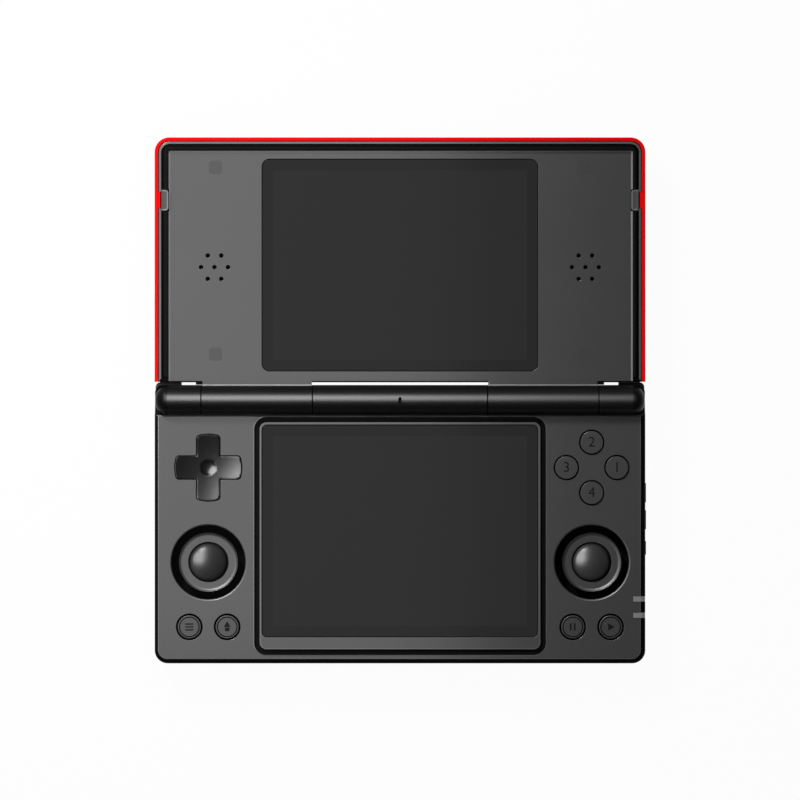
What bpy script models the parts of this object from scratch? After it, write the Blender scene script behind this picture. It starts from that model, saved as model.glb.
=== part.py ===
"""Two-screen clamshell handheld game, lying open flat.

Frame: +X to the player's right, -Y towards the player, +Z up. The origin is on the table,
under the middle of the hinge axis. The lid lies level with the base and closes by turning
half a turn about +X. Every separate piece is its own object.
"""

from math import cos, pi, radians, sin, sqrt

import bmesh
import bpy
from mathutils import Matrix, Vector

MM = 0.001

# Fits
STATIC_GAP = 0.3 * MM
SEAM_GAP = 0.2 * MM
RUNNING_GAP = 0.35 * MM

# Screens
GLASS_WIDTH = 90.1 * MM
GLASS_HEIGHT = 69.35 * MM
GLASS_THICKNESS = 0.9 * MM
GLASS_CORNER = 1.4 * MM
GLASS_FIT = 0.15 * MM
PANEL_BORDER = 2.1 * MM
PANEL_THICKNESS = 2.4 * MM

# Plan of the base
ISLAND_SIDE_MARGIN = 0.8 * MM
ISLAND_REAR_MARGIN = 0.95 * MM
ISLAND_FRONT_MARGIN = 3.9 * MM
ISLAND_CORNER = 2.3 * MM
MOAT_WIDTH = 1.7 * MM
MOAT_DEPTH = 1.0 * MM
REAR_STRIP = 0.45 * MM
FRONT_STRIP = 2.65 * MM
COLUMN_WIDTH = 32.45 * MM
CASE_CORNER = 4.3 * MM

# Heights of the base
FOOT_PROUD = 0.6 * MM
FOOT_SUNK = 0.5 * MM
TRAY_HEIGHT = 6.05 * MM
TRAY_FLOOR = 1.5 * MM
TRAY_WALL = 1.5 * MM
TRAY_ROUNDING = 2.0 * MM
DECK_HEIGHT = 6.15 * MM
DECK_TOP = 1.6 * MM
DECK_WALL = 1.6 * MM
DECK_ROUNDING = 1.3 * MM

# Hinge
BARREL_RADIUS = 4.7 * MM
BARREL_GAP = 0.3 * MM
BARREL_BORE = 2.6 * MM
BARREL_END_ROUNDING = 3.5 * MM
CENTRE_KNUCKLE = 57.0 * MM
END_KNUCKLE = 15.25 * MM
END_KNUCKLE_INSET = 0.3 * MM
KNUCKLE_GAP = 0.3 * MM
REAR_WALL_Y = 4.4 * MM
BEAM_WALL = 1.6 * MM
SHAFT_IN_LID = 14.0 * MM
SHAFT_IN_BASE = 11.0 * MM
FOOT_RIB_HALF = 1.5 * MM
END_RIB_WIDTH = 3.4 * MM
END_RIB_INSET = 1.2 * MM
CENTRE_RIB_WIDTH = 24.0 * MM
MIC_SLOT_WIDTH = 1.0 * MM
MIC_SLOT_LENGTH = 2.0 * MM

# Lid
CLOSED_GAP = 0.3 * MM
LID_SETBACK = 6.3 * MM
LID_DEPTH = 8.2 * MM
LID_CORNER = 3.9 * MM
LID_WALL = 1.15 * MM
LID_BACK = 1.4 * MM
LID_ROUNDING = 2.2 * MM
LID_NEAR_WALL_HEIGHT = 3.3 * MM
RIM_WIDTH = 2.9 * MM
PLATE_RECESS = 1.2 * MM
PLATE_THICKNESS = 1.6 * MM
PLATE_CORNER = 1.2 * MM
SKIRT_DEPTH = 1.8 * MM
SKIRT_WALL = 1.2 * MM
PLATE_TAB = 1.2 * MM
LID_GLASS_MARGIN = 3.1 * MM
TONGUE_THICKNESS = 1.35 * MM
TONGUE_ROOT_Y = 1.5 * MM
TONGUE_LENGTH = 9.1 * MM
SPEAKER_RADIUS = 8.0 * MM
SPEAKER_THICKNESS = 2.6 * MM
SPEAKER_MAGNET_RADIUS = 4.6 * MM
SPEAKER_INSET = 19.5 * MM
SPEAKER_Y = 43.4 * MM
GRILLE_PITCH = 4.4 * MM
GRILLE_HOLE = 0.7 * MM
PLUG_SIZE = 4.2 * MM
PLUG_CORNER = 0.9 * MM
PLUG_THICKNESS = 0.9 * MM
PLUG_INSET = 19.8 * MM
PLUG_FROM_NEAR = 8.7 * MM
PLUG_FROM_FAR = 9.7 * MM
BUMPER_LENGTH = 6.85 * MM
BUMPER_WIDTH = 2.8 * MM
BUMPER_CORNER = 1.0 * MM
BUMPER_PROUD = 0.15 * MM
BUMPER_FROM_FAR = 20.5 * MM
BUMPER_DEPTH = 1.5 * MM

# Controls on the deck
CONTROL_INSET = 17.5 * MM
PAD_ROW_Y = -21.95 * MM
SMALL_ROW_FROM_FRONT = 11.8 * MM
STICK_ROW_SHARE = 0.594
FLANGE_LIP = 0.9 * MM
FLANGE_THICKNESS = 0.8 * MM

DPAD_SPAN = 21.9 * MM
DPAD_ARM = 7.65 * MM
DPAD_CORNER = 1.0 * MM
DPAD_BULGE = 0.35 * MM
DPAD_HOLLOW_DEPTH = 0.45 * MM
DPAD_PROUD = 0.4 * MM
DPAD_DISH_RADIUS = 2.55 * MM
DPAD_DISH_DEPTH = 0.7 * MM
DPAD_TILT_ROOM = 1.1 * MM
DPAD_EDGE = 0.4 * MM
PIVOT_RADIUS = 3.0 * MM
PIVOT_HEIGHT = 1.2 * MM

FACE_RADIUS = 3.8 * MM
FACE_PITCH_RADIUS = 8.23 * MM
FACE_PROUD = 0.55 * MM
FACE_TRAVEL = 1.0 * MM
SMALL_RADIUS = 4.0 * MM
SMALL_PITCH = 12.35 * MM
SMALL_PROUD = 0.25 * MM
SMALL_TRAVEL = 0.6 * MM
CAP_EDGE = 0.35 * MM
STEM_RADIUS = 2.4 * MM
STEM_LENGTH = 1.3 * MM

STICK_WELL_RADIUS = 12.2 * MM
STICK_WELL_WALL = 1.0 * MM
STICK_WELL_DEPTH = 5.6 * MM
STICK_DISC_RADIUS = 9.05 * MM
STICK_DISC_DROP = 1.9 * MM
STICK_DISC_THICKNESS = 1.0 * MM
STICK_LIP_WIDTH = 1.2 * MM
STICK_LIP_HEIGHT = 0.3 * MM
STICK_DOME_RADIUS = 6.45 * MM
STICK_DOME_HEIGHT = 2.6 * MM
STICK_PIVOT_DROP = 7.6 * MM
STICK_HUB_RADIUS = 3.2 * MM
STICK_HUB_LENGTH = 2.2 * MM
STICK_SHAFT_RADIUS = 1.6 * MM
STICK_BALL_RADIUS = 2.4 * MM
STICK_BALL_FLAT = -52.0
STICK_CLICK = 0.4 * MM
ROCKER_RADIUS = 5.4 * MM
ROCKER_BORE = 3.0 * MM
ROCKER_HALF = 0.8 * MM
ROCKER_PIN = 0.7 * MM
MODULE_WIDTH = 17.0 * MM
MODULE_CAVITY = 7.5 * MM
MODULE_RIM = 1.0 * MM
MODULE_FLANGE_RADIUS = 12.6 * MM
MODULE_FLANGE = 0.7 * MM
MODULE_FLOOR = 0.6 * MM

# Keys on the right side and behind the barrel
KEY_PROUD = 0.3 * MM
KEY_HEIGHT = 2.2 * MM
KEY_BELOW_DECK = 2.6 * MM
KEY_ROOM = 0.5 * MM
KEY_FLANGE = 0.85 * MM
VOLUME_REAR = -27.1 * MM
VOLUME_LENGTH = 15.0 * MM
VOLUME_BUMP = 6.1 * MM
POWER_REAR = -46.0 * MM
POWER_LENGTH = 4.4 * MM
SHOULDER_WIDTH = 8.2 * MM
SHOULDER_CORNER = 3.4 * MM
SHOULDER_REACH_Y = 5.9 * MM
SHOULDER_FRONT_Y = -2.0 * MM
SHOULDER_TRAVEL = 0.8 * MM
SHOULDER_TAB = 1.6 * MM
TRIGGER_WIDTH = 14.0 * MM
TRIGGER_INSET = 16.0 * MM
TRIGGER_REACH_Y = 5.6 * MM
REAR_KEY_LIFT = 0.5 * MM
REAR_KEY_FLANGE = 1.9 * MM
LIGHT_LENGTH = 4.0 * MM
LIGHT_WIDTH = 1.7 * MM
LIGHT_DEPTH = 2.4 * MM
LIGHT_BAR = 1.8 * MM
LIGHT_FIRST_Y = -64.8 * MM
LIGHT_PITCH = 5.3 * MM

# Inside the base
BOARD_THICKNESS = 1.0 * MM
BOARD_LIFT = 2.3 * MM
BOARD_SIDE_INSET = 7.4 * MM
BOARD_FRONT_INSET = 7.7 * MM
BOARD_REAR_Y = -8.5 * MM
BATTERY_WIDTH = 80.0 * MM
BATTERY_LENGTH = 42.0 * MM
BATTERY_THICKNESS = 5.0 * MM
BATTERY_Y = -45.0 * MM
BATTERY_ROOM = 0.8 * MM
MEMBRANE_SHEET = 0.8 * MM
MEMBRANE_DOME = 1.2 * MM
MEMBRANE_DOME_RADIUS = 2.6 * MM
SWITCH_SIZE = 4.0 * MM
SWITCH_HEIGHT = 1.4 * MM
CHIP_WIDTH = 18.0 * MM
CHIP_LENGTH = 9.0 * MM
CHIP_HEIGHT = 1.4 * MM
CHIP_INSET = 6.5 * MM
USB_WIDTH = 8.94 * MM
USB_HEIGHT = 3.26 * MM
USB_WALL = 0.35 * MM
USB_LENGTH = 7.2 * MM
USB_TONGUE_WIDTH = 6.7 * MM
USB_TONGUE_THICKNESS = 0.7 * MM
USB_BACK = 1.2 * MM
USB_LIFT = 0.6 * MM

# Feet and case screws
FOOT_LENGTH = 110.0 * MM
FOOT_WIDTH = 5.0 * MM
FRONT_FOOT_INSET = 8.0 * MM
REAR_FOOT_INSET = 6.4 * MM
BOSS_RADIUS = 2.2 * MM
BOSS_BORE = 1.1 * MM
BOSS_SIDE_INSET = 4.8 * MM
BOSS_FRONT_INSET = 4.7 * MM
BOSS_REAR_Y = -10.0 * MM
SCREW_HEAD_RADIUS = 1.9 * MM
SCREW_HEAD = 0.6 * MM
SCREW_SINK = 0.2 * MM
SCREW_RADIUS = 0.8 * MM
SCREW_LENGTH = 5.0 * MM

# Smoothness of round shapes
ARC_STEPS = 5
ROUND_SIDES = 20
BARREL_SIDES = 32
PAST = 2.0 * MM

# Heights that follow
TRAY_BOTTOM_Z = FOOT_PROUD
TRAY_FLOOR_Z = TRAY_BOTTOM_Z + TRAY_FLOOR
TRAY_TOP_Z = TRAY_BOTTOM_Z + TRAY_HEIGHT
DECK_BOTTOM_Z = TRAY_TOP_Z + SEAM_GAP
DECK_Z = DECK_BOTTOM_Z + DECK_HEIGHT
DECK_UNDER_Z = DECK_Z - DECK_TOP
HINGE_Z = DECK_Z + CLOSED_GAP / 2
RIM_Z = HINGE_Z - CLOSED_GAP / 2
PLATE_Z = RIM_Z - PLATE_RECESS
PLATE_UNDER_Z = PLATE_Z - PLATE_THICKNESS
LID_BACK_Z = RIM_Z - LID_DEPTH
BOARD_Z = TRAY_FLOOR_Z + BOARD_LIFT
BOARD_TOP_Z = BOARD_Z + BOARD_THICKNESS
PIVOT_Z = DECK_Z - STICK_PIVOT_DROP
FLANGE_TOP_Z = DECK_UNDER_Z - STATIC_GAP

# Plan places that follow
TROUGH_RADIUS = BARREL_RADIUS + BARREL_GAP
MOAT_REAR_Y = -(TROUGH_RADIUS + REAR_STRIP)
ISLAND_REAR_Y = MOAT_REAR_Y - MOAT_WIDTH
GLASS_REAR_Y = ISLAND_REAR_Y - ISLAND_REAR_MARGIN
GLASS_FRONT_Y = GLASS_REAR_Y - GLASS_HEIGHT
ISLAND_FRONT_Y = GLASS_FRONT_Y - ISLAND_FRONT_MARGIN
MOAT_FRONT_Y = ISLAND_FRONT_Y - MOAT_WIDTH
FRONT_Y = MOAT_FRONT_Y - FRONT_STRIP
FAR_Y = -FRONT_Y
ISLAND_X = GLASS_WIDTH / 2 + ISLAND_SIDE_MARGIN
MOAT_X = ISLAND_X + MOAT_WIDTH
SIDE_X = MOAT_X + COLUMN_WIDTH
CONTROL_X = SIDE_X - CONTROL_INSET
SMALL_ROW_Y = FRONT_Y + SMALL_ROW_FROM_FRONT
STICK_ROW_Y = PAD_ROW_Y + STICK_ROW_SHARE * (SMALL_ROW_Y - PAD_ROW_Y)
LOWER_GLASS_Y = (GLASS_REAR_Y + GLASS_FRONT_Y) / 2
UPPER_GLASS_Y = LID_SETBACK + LID_GLASS_MARGIN + GLASS_HEIGHT / 2
CENTRE_END_X = CENTRE_KNUCKLE / 2
LID_END_X = SIDE_X - END_KNUCKLE
RIM_X = SIDE_X - LID_WALL - SEAM_GAP
RIM_FAR_Y = FAR_Y - LID_WALL - SEAM_GAP
PLATE_X = RIM_X - RIM_WIDTH
PLATE_FAR_Y = RIM_FAR_Y - RIM_WIDTH
TONGUE_TOP_Z = PLATE_UNDER_Z - STATIC_GAP
TONGUE_Z = TONGUE_TOP_Z - TONGUE_THICKNESS
REAR_KEY_Z = TRAY_FLOOR_Z + REAR_KEY_LIFT
REAR_KEY_TOP_Z = TRAY_TOP_Z - STATIC_GAP

for leftover in list(bpy.data.objects):
    bpy.data.objects.remove(leftover)

PARTS = bpy.data.collections.new("clamshell_handheld_game")
CUTTERS = bpy.data.collections.new("clamshell_cutters")
bpy.context.scene.collection.children.link(PARTS)
bpy.context.scene.collection.children.link(CUTTERS)


# Modelling helpers


def add_object(name, mesh, cutter=False):
    """Links a mesh as a piece, or as a hidden cutter."""
    obj = bpy.data.objects.new(name, mesh)
    (CUTTERS if cutter else PARTS).objects.link(obj)
    if cutter:
        obj.hide_render = True
        obj.display_type = "WIRE"
    return obj


def mesh_from(bm, name):
    mesh = bpy.data.meshes.new(name)
    bm.to_mesh(mesh)
    bm.free()
    return mesh


def box(name, low, high, cutter=False):
    """A block between two corners."""
    low, high = Vector(low), Vector(high)
    bm = bmesh.new()
    bmesh.ops.create_cube(bm, size=1.0)
    bmesh.ops.scale(bm, vec=high - low, verts=bm.verts)
    bmesh.ops.translate(bm, vec=(low + high) / 2, verts=bm.verts)
    return add_object(name, mesh_from(bm, name), cutter)


def rod(name, start, end, radius, sides=ROUND_SIDES, cutter=False):
    """A round bar between two points."""
    start, end = Vector(start), Vector(end)
    along = end - start
    turn = along.to_track_quat("Z", "Y").to_matrix().to_4x4()
    bm = bmesh.new()
    bmesh.ops.create_cone(
        bm,
        cap_ends=True,
        segments=sides,
        radius1=radius,
        radius2=radius,
        depth=along.length,
        matrix=Matrix.Translation((start + end) / 2) @ turn,
    )
    mesh = mesh_from(bm, name)
    mesh.shade_smooth()
    mesh.set_sharp_from_angle(angle=radians(40))
    return add_object(name, mesh, cutter)


def plate(name, outlines, z_low, z_high, cutter=False):
    """A flat outline, with any holes as further outlines, between two heights."""
    curve = bpy.data.curves.new(name, "CURVE")
    curve.dimensions = "2D"
    curve.fill_mode = "BOTH"
    curve.extrude = (z_high - z_low) / 2
    for outline in outlines:
        spline = curve.splines.new("POLY")
        spline.points.add(len(outline) - 1)
        for point, (x, y) in zip(spline.points, outline):
            point.co = (x, y, 0.0, 1.0)
        spline.use_cyclic_u = True
    flat = add_object(name + "_outline", curve, cutter=True)
    graph = bpy.context.evaluated_depsgraph_get()
    mesh = bpy.data.meshes.new_from_object(flat.evaluated_get(graph))
    bpy.data.objects.remove(flat)
    bpy.data.curves.remove(curve)
    bm = bmesh.new()
    bm.from_mesh(mesh)
    bmesh.ops.remove_doubles(bm, verts=bm.verts, dist=1e-6)
    bmesh.ops.recalc_face_normals(bm, faces=bm.faces)
    if len(outlines) == 1:
        for facing in (-1, 1):
            cap = [face for face in bm.faces if all(v.co.z * facing > 0 for v in face.verts)]
            bmesh.ops.dissolve_faces(bm, faces=cap)
    bmesh.ops.translate(bm, vec=(0, 0, (z_low + z_high) / 2), verts=bm.verts)
    bm.to_mesh(mesh)
    bm.free()
    mesh.name = name
    return add_object(name, mesh, cutter)


def turned(name, profile, location, sides=ROUND_SIDES, closed=False, cutter=False):
    """A profile of (radius, height) points, top to bottom on its outer side, turned about Z."""
    count = len(profile)
    links = [(i, i + 1) for i in range(count - 1)]
    if closed:
        links.append((count - 1, 0))
    mesh = bpy.data.meshes.new(name)
    mesh.from_pydata([(radius, 0.0, height) for radius, height in profile], links, [])
    obj = add_object(name, mesh, cutter)
    obj.location = location
    screw = obj.modifiers.new("turning", "SCREW")
    screw.axis = "Z"
    screw.angle = 2 * pi
    screw.steps = sides
    screw.render_steps = sides
    screw.use_merge_vertices = True
    screw.merge_threshold = 1e-6
    return obj


def cut(target, *cutters):
    for cutter in cutters:
        step = target.modifiers.new("cut " + cutter.name, "BOOLEAN")
        step.operation = "DIFFERENCE"
        step.solver = "EXACT"
        step.object = cutter


def join(target, *pieces):
    for piece in pieces:
        step = target.modifiers.new("join " + piece.name, "BOOLEAN")
        step.operation = "UNION"
        step.solver = "EXACT"
        step.object = piece


def round_edges(obj, width, segments, chosen):
    """Rounds the sharp edges whose middle point passes the test."""
    bm = bmesh.new()
    bm.from_mesh(obj.data)
    weight = bm.edges.layers.float.new("bevel_weight_edge")
    for edge in bm.edges:
        middle = (edge.verts[0].co + edge.verts[1].co) / 2
        if edge.calc_face_angle(0.0) > radians(50) and chosen(middle):
            edge[weight] = 1.0
    bm.to_mesh(obj.data)
    bm.free()
    bevel = obj.modifiers.new("rounding", "BEVEL")
    bevel.limit_method = "WEIGHT"
    bevel.width = width
    bevel.segments = segments


def move_origin(obj, point):
    """Puts an object's origin on its joint without moving its shape."""
    obj.data.transform(Matrix.Translation(-Vector(point)))
    obj.location = point


def finish(obj, colour, roughness, metallic=0.0):
    material = bpy.data.materials.new(obj.name)
    material.use_nodes = True
    shader = material.node_tree.nodes["Principled BSDF"]
    shader.inputs["Base Color"].default_value = (*colour, 1.0)
    shader.inputs["Roughness"].default_value = roughness
    shader.inputs["Metallic"].default_value = metallic
    obj.data.materials.append(material)
    return obj


GREY = (0.105, 0.105, 0.108)
BLACK = (0.012, 0.012, 0.013)
RED = (0.8, 0.008, 0.008)
GLASS = (0.02, 0.02, 0.021)
RUBBER = (0.02, 0.02, 0.02)
STEEL = (0.55, 0.55, 0.56)
BOARD_GREEN = (0.01, 0.09, 0.035)
FOIL = (0.35, 0.36, 0.38)
SMOKE = (0.16, 0.16, 0.16)


def arc(centre, radius, start, end, steps=ARC_STEPS):
    """Points on an arc, ends included; angles in degrees."""
    turns = [radians(start + (end - start) * i / steps) for i in range(steps + 1)]
    return [(centre[0] + radius * cos(t), centre[1] + radius * sin(t)) for t in turns]


def rounded(low, high, radius, near_radius=None):
    """A rectangle's outline with round corners; the corners at low y can have their own."""
    near = radius if near_radius is None else near_radius
    corners = [
        ((low[0], low[1]), (1, 1), near, 180),
        ((high[0], low[1]), (-1, 1), near, 270),
        ((high[0], high[1]), (-1, -1), radius, 0),
        ((low[0], high[1]), (1, -1), radius, 90),
    ]
    outline = []
    for (x, y), (dx, dy), r, start in corners:
        if r > 0:
            outline += arc((x + dx * r, y + dy * r), r, start, start + 90)
        else:
            outline.append((x, y))
    return outline


def mirrored(outline, side):
    """An outline drawn for +X, on the given side."""
    return outline if side > 0 else [(-x, y) for x, y in reversed(outline)]


def cross(half_span, half_arm, corner):
    """The outline of a four-armed pad about the origin; the arms end in a slight bulge."""
    flat = half_span - DPAD_BULGE
    low = arc((flat - corner, corner - half_arm), corner, 270, 350, 3)
    high = arc((flat - corner, half_arm - corner), corner, 10, 90, 3)
    reach = half_arm - corner
    bulge = [(half_span - DPAD_BULGE * (y / reach) ** 2, y) for y in (-reach / 2, 0, reach / 2)]
    outline = []
    for quarter in range(4):
        turn = Matrix.Rotation(quarter * pi / 2, 2)
        for point in [*low, *bulge, *high, (half_arm, half_arm)]:
            outline.append(tuple(turn @ Vector(point)))
    return outline


def shifted(outline, x, y):
    return [(px + x, py + y) for px, py in outline]


def glass_outline(y, grow=0.0):
    half = Vector((GLASS_WIDTH / 2 + grow, GLASS_HEIGHT / 2 + grow))
    return rounded((-half.x, y - half.y), (half.x, y + half.y), GLASS_CORNER + grow)


def panel_corners(y, grow=0.0):
    half_x = GLASS_WIDTH / 2 - PANEL_BORDER + grow
    half_y = GLASS_HEIGHT / 2 - PANEL_BORDER + grow
    return (-half_x, y - half_y), (half_x, y + half_y)


# Screens


def make_screen(place, y, face_z):
    """A cover glass level with its face and the display panel behind it."""
    glass = plate(place + "_glass", [glass_outline(y)], face_z - GLASS_THICKNESS, face_z)
    finish(glass, GLASS, 0.12)
    low, high = panel_corners(y)
    top = face_z - GLASS_THICKNESS - STATIC_GAP
    panel = box(place + "_lcd", (*low, top - PANEL_THICKNESS), (*high, top))
    finish(panel, FOIL, 0.4, 0.3)
    return glass, panel


def cut_screen_seat(cover, place, y, face_z, under_z):
    """The glass's pocket and the panel's window in a cover."""
    pocket_z = face_z - GLASS_THICKNESS - GLASS_FIT
    pocket = plate(
        place + "_glass_pocket",
        [glass_outline(y, GLASS_FIT)],
        pocket_z,
        face_z + PAST,
        cutter=True,
    )
    low, high = panel_corners(y, STATIC_GAP)
    window = box(
        place + "_panel_window", (*low, under_z - PAST), (*high, face_z + PAST), cutter=True
    )
    cut(cover, pocket, window)


# Base shells


def make_deck():
    outline = rounded((-SIDE_X, FRONT_Y), (SIDE_X, REAR_WALL_Y), 0.0, CASE_CORNER)
    deck = plate("deck_cover", [outline], DECK_BOTTOM_Z, DECK_Z)
    inset = DECK_ROUNDING

    def is_top_edge(middle):
        return middle.z > DECK_Z - inset / 2 and middle.y < REAR_WALL_Y - inset

    round_edges(deck, DECK_ROUNDING, 3, is_top_edge)
    cavity = plate(
        "deck_cavity",
        [
            rounded(
                (-SIDE_X + DECK_WALL, FRONT_Y + DECK_WALL),
                (SIDE_X - DECK_WALL, -TROUGH_RADIUS - BEAM_WALL),
                0.0,
                CASE_CORNER - DECK_WALL,
            )
        ],
        DECK_BOTTOM_Z - PAST,
        DECK_UNDER_Z,
        cutter=True,
    )
    past_side = SIDE_X + PAST
    trough = rod(
        "deck_trough",
        (-past_side, 0, HINGE_Z),
        (past_side, 0, HINGE_Z),
        TROUGH_RADIUS,
        BARREL_SIDES,
        cutter=True,
    )
    cut(deck, cavity, trough)
    for side in (-1, 1):
        ends = sorted((side * CENTRE_END_X, side * LID_END_X))
        notch = box(
            "deck_tongue_notch",
            (ends[0], TONGUE_ROOT_Y, TONGUE_Z - RUNNING_GAP),
            (ends[1], REAR_WALL_Y + PAST, HINGE_Z + BARREL_RADIUS),
            cutter=True,
        )
        cut(deck, notch)
    moat = plate(
        "deck_moat",
        [
            rounded(
                (-MOAT_X, MOAT_FRONT_Y), (MOAT_X, MOAT_REAR_Y), ISLAND_CORNER + MOAT_WIDTH
            ),
            rounded((-ISLAND_X, ISLAND_FRONT_Y), (ISLAND_X, ISLAND_REAR_Y), ISLAND_CORNER),
        ],
        DECK_Z - MOAT_DEPTH,
        DECK_Z + PAST,
        cutter=True,
    )
    cut(deck, moat)
    cut_screen_seat(deck, "lower", LOWER_GLASS_Y, DECK_Z, DECK_UNDER_Z)
    for x, y in boss_places():
        boss = rod(
            "deck_boss",
            (x, y, TRAY_FLOOR_Z + STATIC_GAP),
            (x, y, DECK_UNDER_Z + DECK_TOP / 3),
            BOSS_RADIUS,
            16,
            cutter=True,
        )
        join(deck, boss)
        bore = rod(
            "deck_boss_bore",
            (x, y, TRAY_BOTTOM_Z),
            (x, y, screw_top_z() + STATIC_GAP),
            BOSS_BORE,
            12,
            cutter=True,
        )
        cut(deck, bore)
    return finish(deck, GREY, 0.45, 0.2)


def boss_places():
    x = SIDE_X - BOSS_SIDE_INSET
    rows = (FRONT_Y + BOSS_FRONT_INSET, BOSS_REAR_Y)
    return [(side * x, y) for y in rows for side in (-1, 1)]


def screw_top_z():
    return TRAY_BOTTOM_Z + SCREW_SINK + SCREW_HEAD + SCREW_LENGTH


def make_base_cover():
    outline = rounded((-SIDE_X, FRONT_Y), (SIDE_X, REAR_WALL_Y), CASE_CORNER)
    tray = plate("base_cover", [outline], TRAY_BOTTOM_Z, TRAY_TOP_Z)
    round_edges(
        tray, TRAY_ROUNDING, 3, lambda middle: middle.z < TRAY_BOTTOM_Z + TRAY_ROUNDING / 2
    )
    cavity = plate(
        "tray_cavity",
        [
            rounded(
                (-SIDE_X + TRAY_WALL, FRONT_Y + TRAY_WALL),
                (SIDE_X - TRAY_WALL, REAR_WALL_Y - TRAY_WALL),
                CASE_CORNER - TRAY_WALL,
            )
        ],
        TRAY_FLOOR_Z,
        TRAY_TOP_Z + PAST,
        cutter=True,
    )
    cut(tray, cavity)
    for x, y in boss_places():
        hole = rod(
            "tray_screw_hole", (x, y, 0), (x, y, TRAY_TOP_Z), BOSS_BORE, 12, cutter=True
        )
        sink_z = TRAY_BOTTOM_Z + SCREW_SINK + SCREW_HEAD + STATIC_GAP / 2
        sink = rod(
            "tray_screw_sink",
            (x, y, 0),
            (x, y, sink_z),
            SCREW_HEAD_RADIUS + STATIC_GAP,
            16,
            cutter=True,
        )
        cut(tray, hole, sink)
    for name, y in foot_places():
        pocket = plate(
            name + "_pocket",
            [foot_outline(y, STATIC_GAP)],
            0.0,
            TRAY_BOTTOM_Z + FOOT_SUNK + GLASS_FIT,
            cutter=True,
        )
        cut(tray, pocket)
    return finish(tray, BLACK, 0.5)


def foot_places():
    return [
        ("front_foot", FRONT_Y + FRONT_FOOT_INSET),
        ("rear_foot", REAR_WALL_Y - REAR_FOOT_INSET),
    ]


def foot_outline(y, grow=0.0):
    half_x = FOOT_LENGTH / 2 + grow
    half_y = FOOT_WIDTH / 2 + grow
    return rounded((-half_x, y - half_y), (half_x, y + half_y), half_y * 0.98)


def make_feet():
    for name, y in foot_places():
        foot = plate(name, [foot_outline(y)], 0.0, TRAY_BOTTOM_Z + FOOT_SUNK)
        finish(foot, RUBBER, 0.8)


def make_case_screws():
    for number, (x, y) in enumerate(boss_places(), 1):
        bottom = TRAY_BOTTOM_Z + SCREW_SINK
        neck = bottom + SCREW_HEAD
        profile = [
            (0, screw_top_z()),
            (SCREW_RADIUS, screw_top_z()),
            (SCREW_RADIUS, neck),
            (SCREW_HEAD_RADIUS, neck),
            (SCREW_HEAD_RADIUS, bottom),
            (0, bottom),
        ]
        screw = turned(f"case_screw_{number}", profile, (x, y, 0), 16)
        finish(screw, STEEL, 0.35, 1.0)


# Hinge


def barrel_turn(side):
    """Turns a shape made about Z so that its top faces out along X on the given side."""
    return (0.0, side * pi / 2, 0.0)


def make_hinge(deck):
    for side, name in ((-1, "left"), (1, "right")):
        inner = LID_END_X + KNUCKLE_GAP / 2
        bore_end = LID_END_X + SHAFT_IN_BASE + STATIC_GAP
        flat = BARREL_RADIUS - BARREL_END_ROUNDING
        end = SIDE_X - END_KNUCKLE_INSET
        end_round = arc((flat, end - BARREL_END_ROUNDING), BARREL_END_ROUNDING, 90, 0, 5)
        profile = [
            (0, end),
            *end_round,
            (BARREL_RADIUS, inner),
            (BARREL_BORE, inner),
            (BARREL_BORE, bore_end),
            (0, bore_end),
        ]
        knuckle = turned(f"hinge_end_{name}", profile, (0, 0, HINGE_Z), BARREL_SIDES)
        knuckle.rotation_euler = barrel_turn(side)
        rib_x = side * (LID_END_X + END_RIB_INSET + END_RIB_WIDTH / 2)
        add_rib(deck, knuckle, rib_x, END_RIB_WIDTH)
        finish(knuckle, BLACK, 0.2)
        shaft = rod(
            f"hinge_shaft_{name}",
            (side * (LID_END_X - SHAFT_IN_LID), 0, HINGE_Z),
            (side * (LID_END_X + SHAFT_IN_BASE), 0, HINGE_Z),
            BARREL_BORE - STATIC_GAP,
            ROUND_SIDES,
        )
        finish(shaft, STEEL, 0.3, 1.0)
    half = CENTRE_END_X - KNUCKLE_GAP / 2
    centre = turned(
        "hinge_centre", tube_profile(half, -half), (0, 0, HINGE_Z), BARREL_SIDES, closed=True
    )
    centre.rotation_euler = barrel_turn(1)
    add_rib(deck, centre, 0.0, CENTRE_RIB_WIDTH)
    mic = plate(
        "microphone_slot",
        [
            rounded(
                (-MIC_SLOT_WIDTH / 2, -MIC_SLOT_LENGTH / 2),
                (MIC_SLOT_WIDTH / 2, MIC_SLOT_LENGTH / 2),
                MIC_SLOT_WIDTH * 0.49,
            )
        ],
        HINGE_Z,
        HINGE_Z + BARREL_RADIUS + PAST,
        cutter=True,
    )
    cut(centre, mic)
    finish(centre, BLACK, 0.2)


def tube_profile(top, bottom):
    return [
        (BARREL_RADIUS, top),
        (BARREL_RADIUS, bottom),
        (BARREL_BORE, bottom),
        (BARREL_BORE, top),
    ]


def add_rib(deck, knuckle, x, width):
    """A foot under a base knuckle and its slot through the floor of the trough."""
    half = FOOT_RIB_HALF
    root_z = HINGE_Z - (BARREL_RADIUS + BARREL_BORE) / 2
    rib = box(
        knuckle.name + "_rib",
        (x - width / 2, -half, DECK_BOTTOM_Z + STATIC_GAP),
        (x + width / 2, half, root_z),
        cutter=True,
    )
    join(knuckle, rib)
    gap = STATIC_GAP
    slot = box(
        knuckle.name + "_rib_slot",
        (x - width / 2 - gap, -half - gap, DECK_BOTTOM_Z - PAST),
        (x + width / 2 + gap, half + gap, HINGE_Z),
        cutter=True,
    )
    cut(deck, slot)


# Lid


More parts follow.
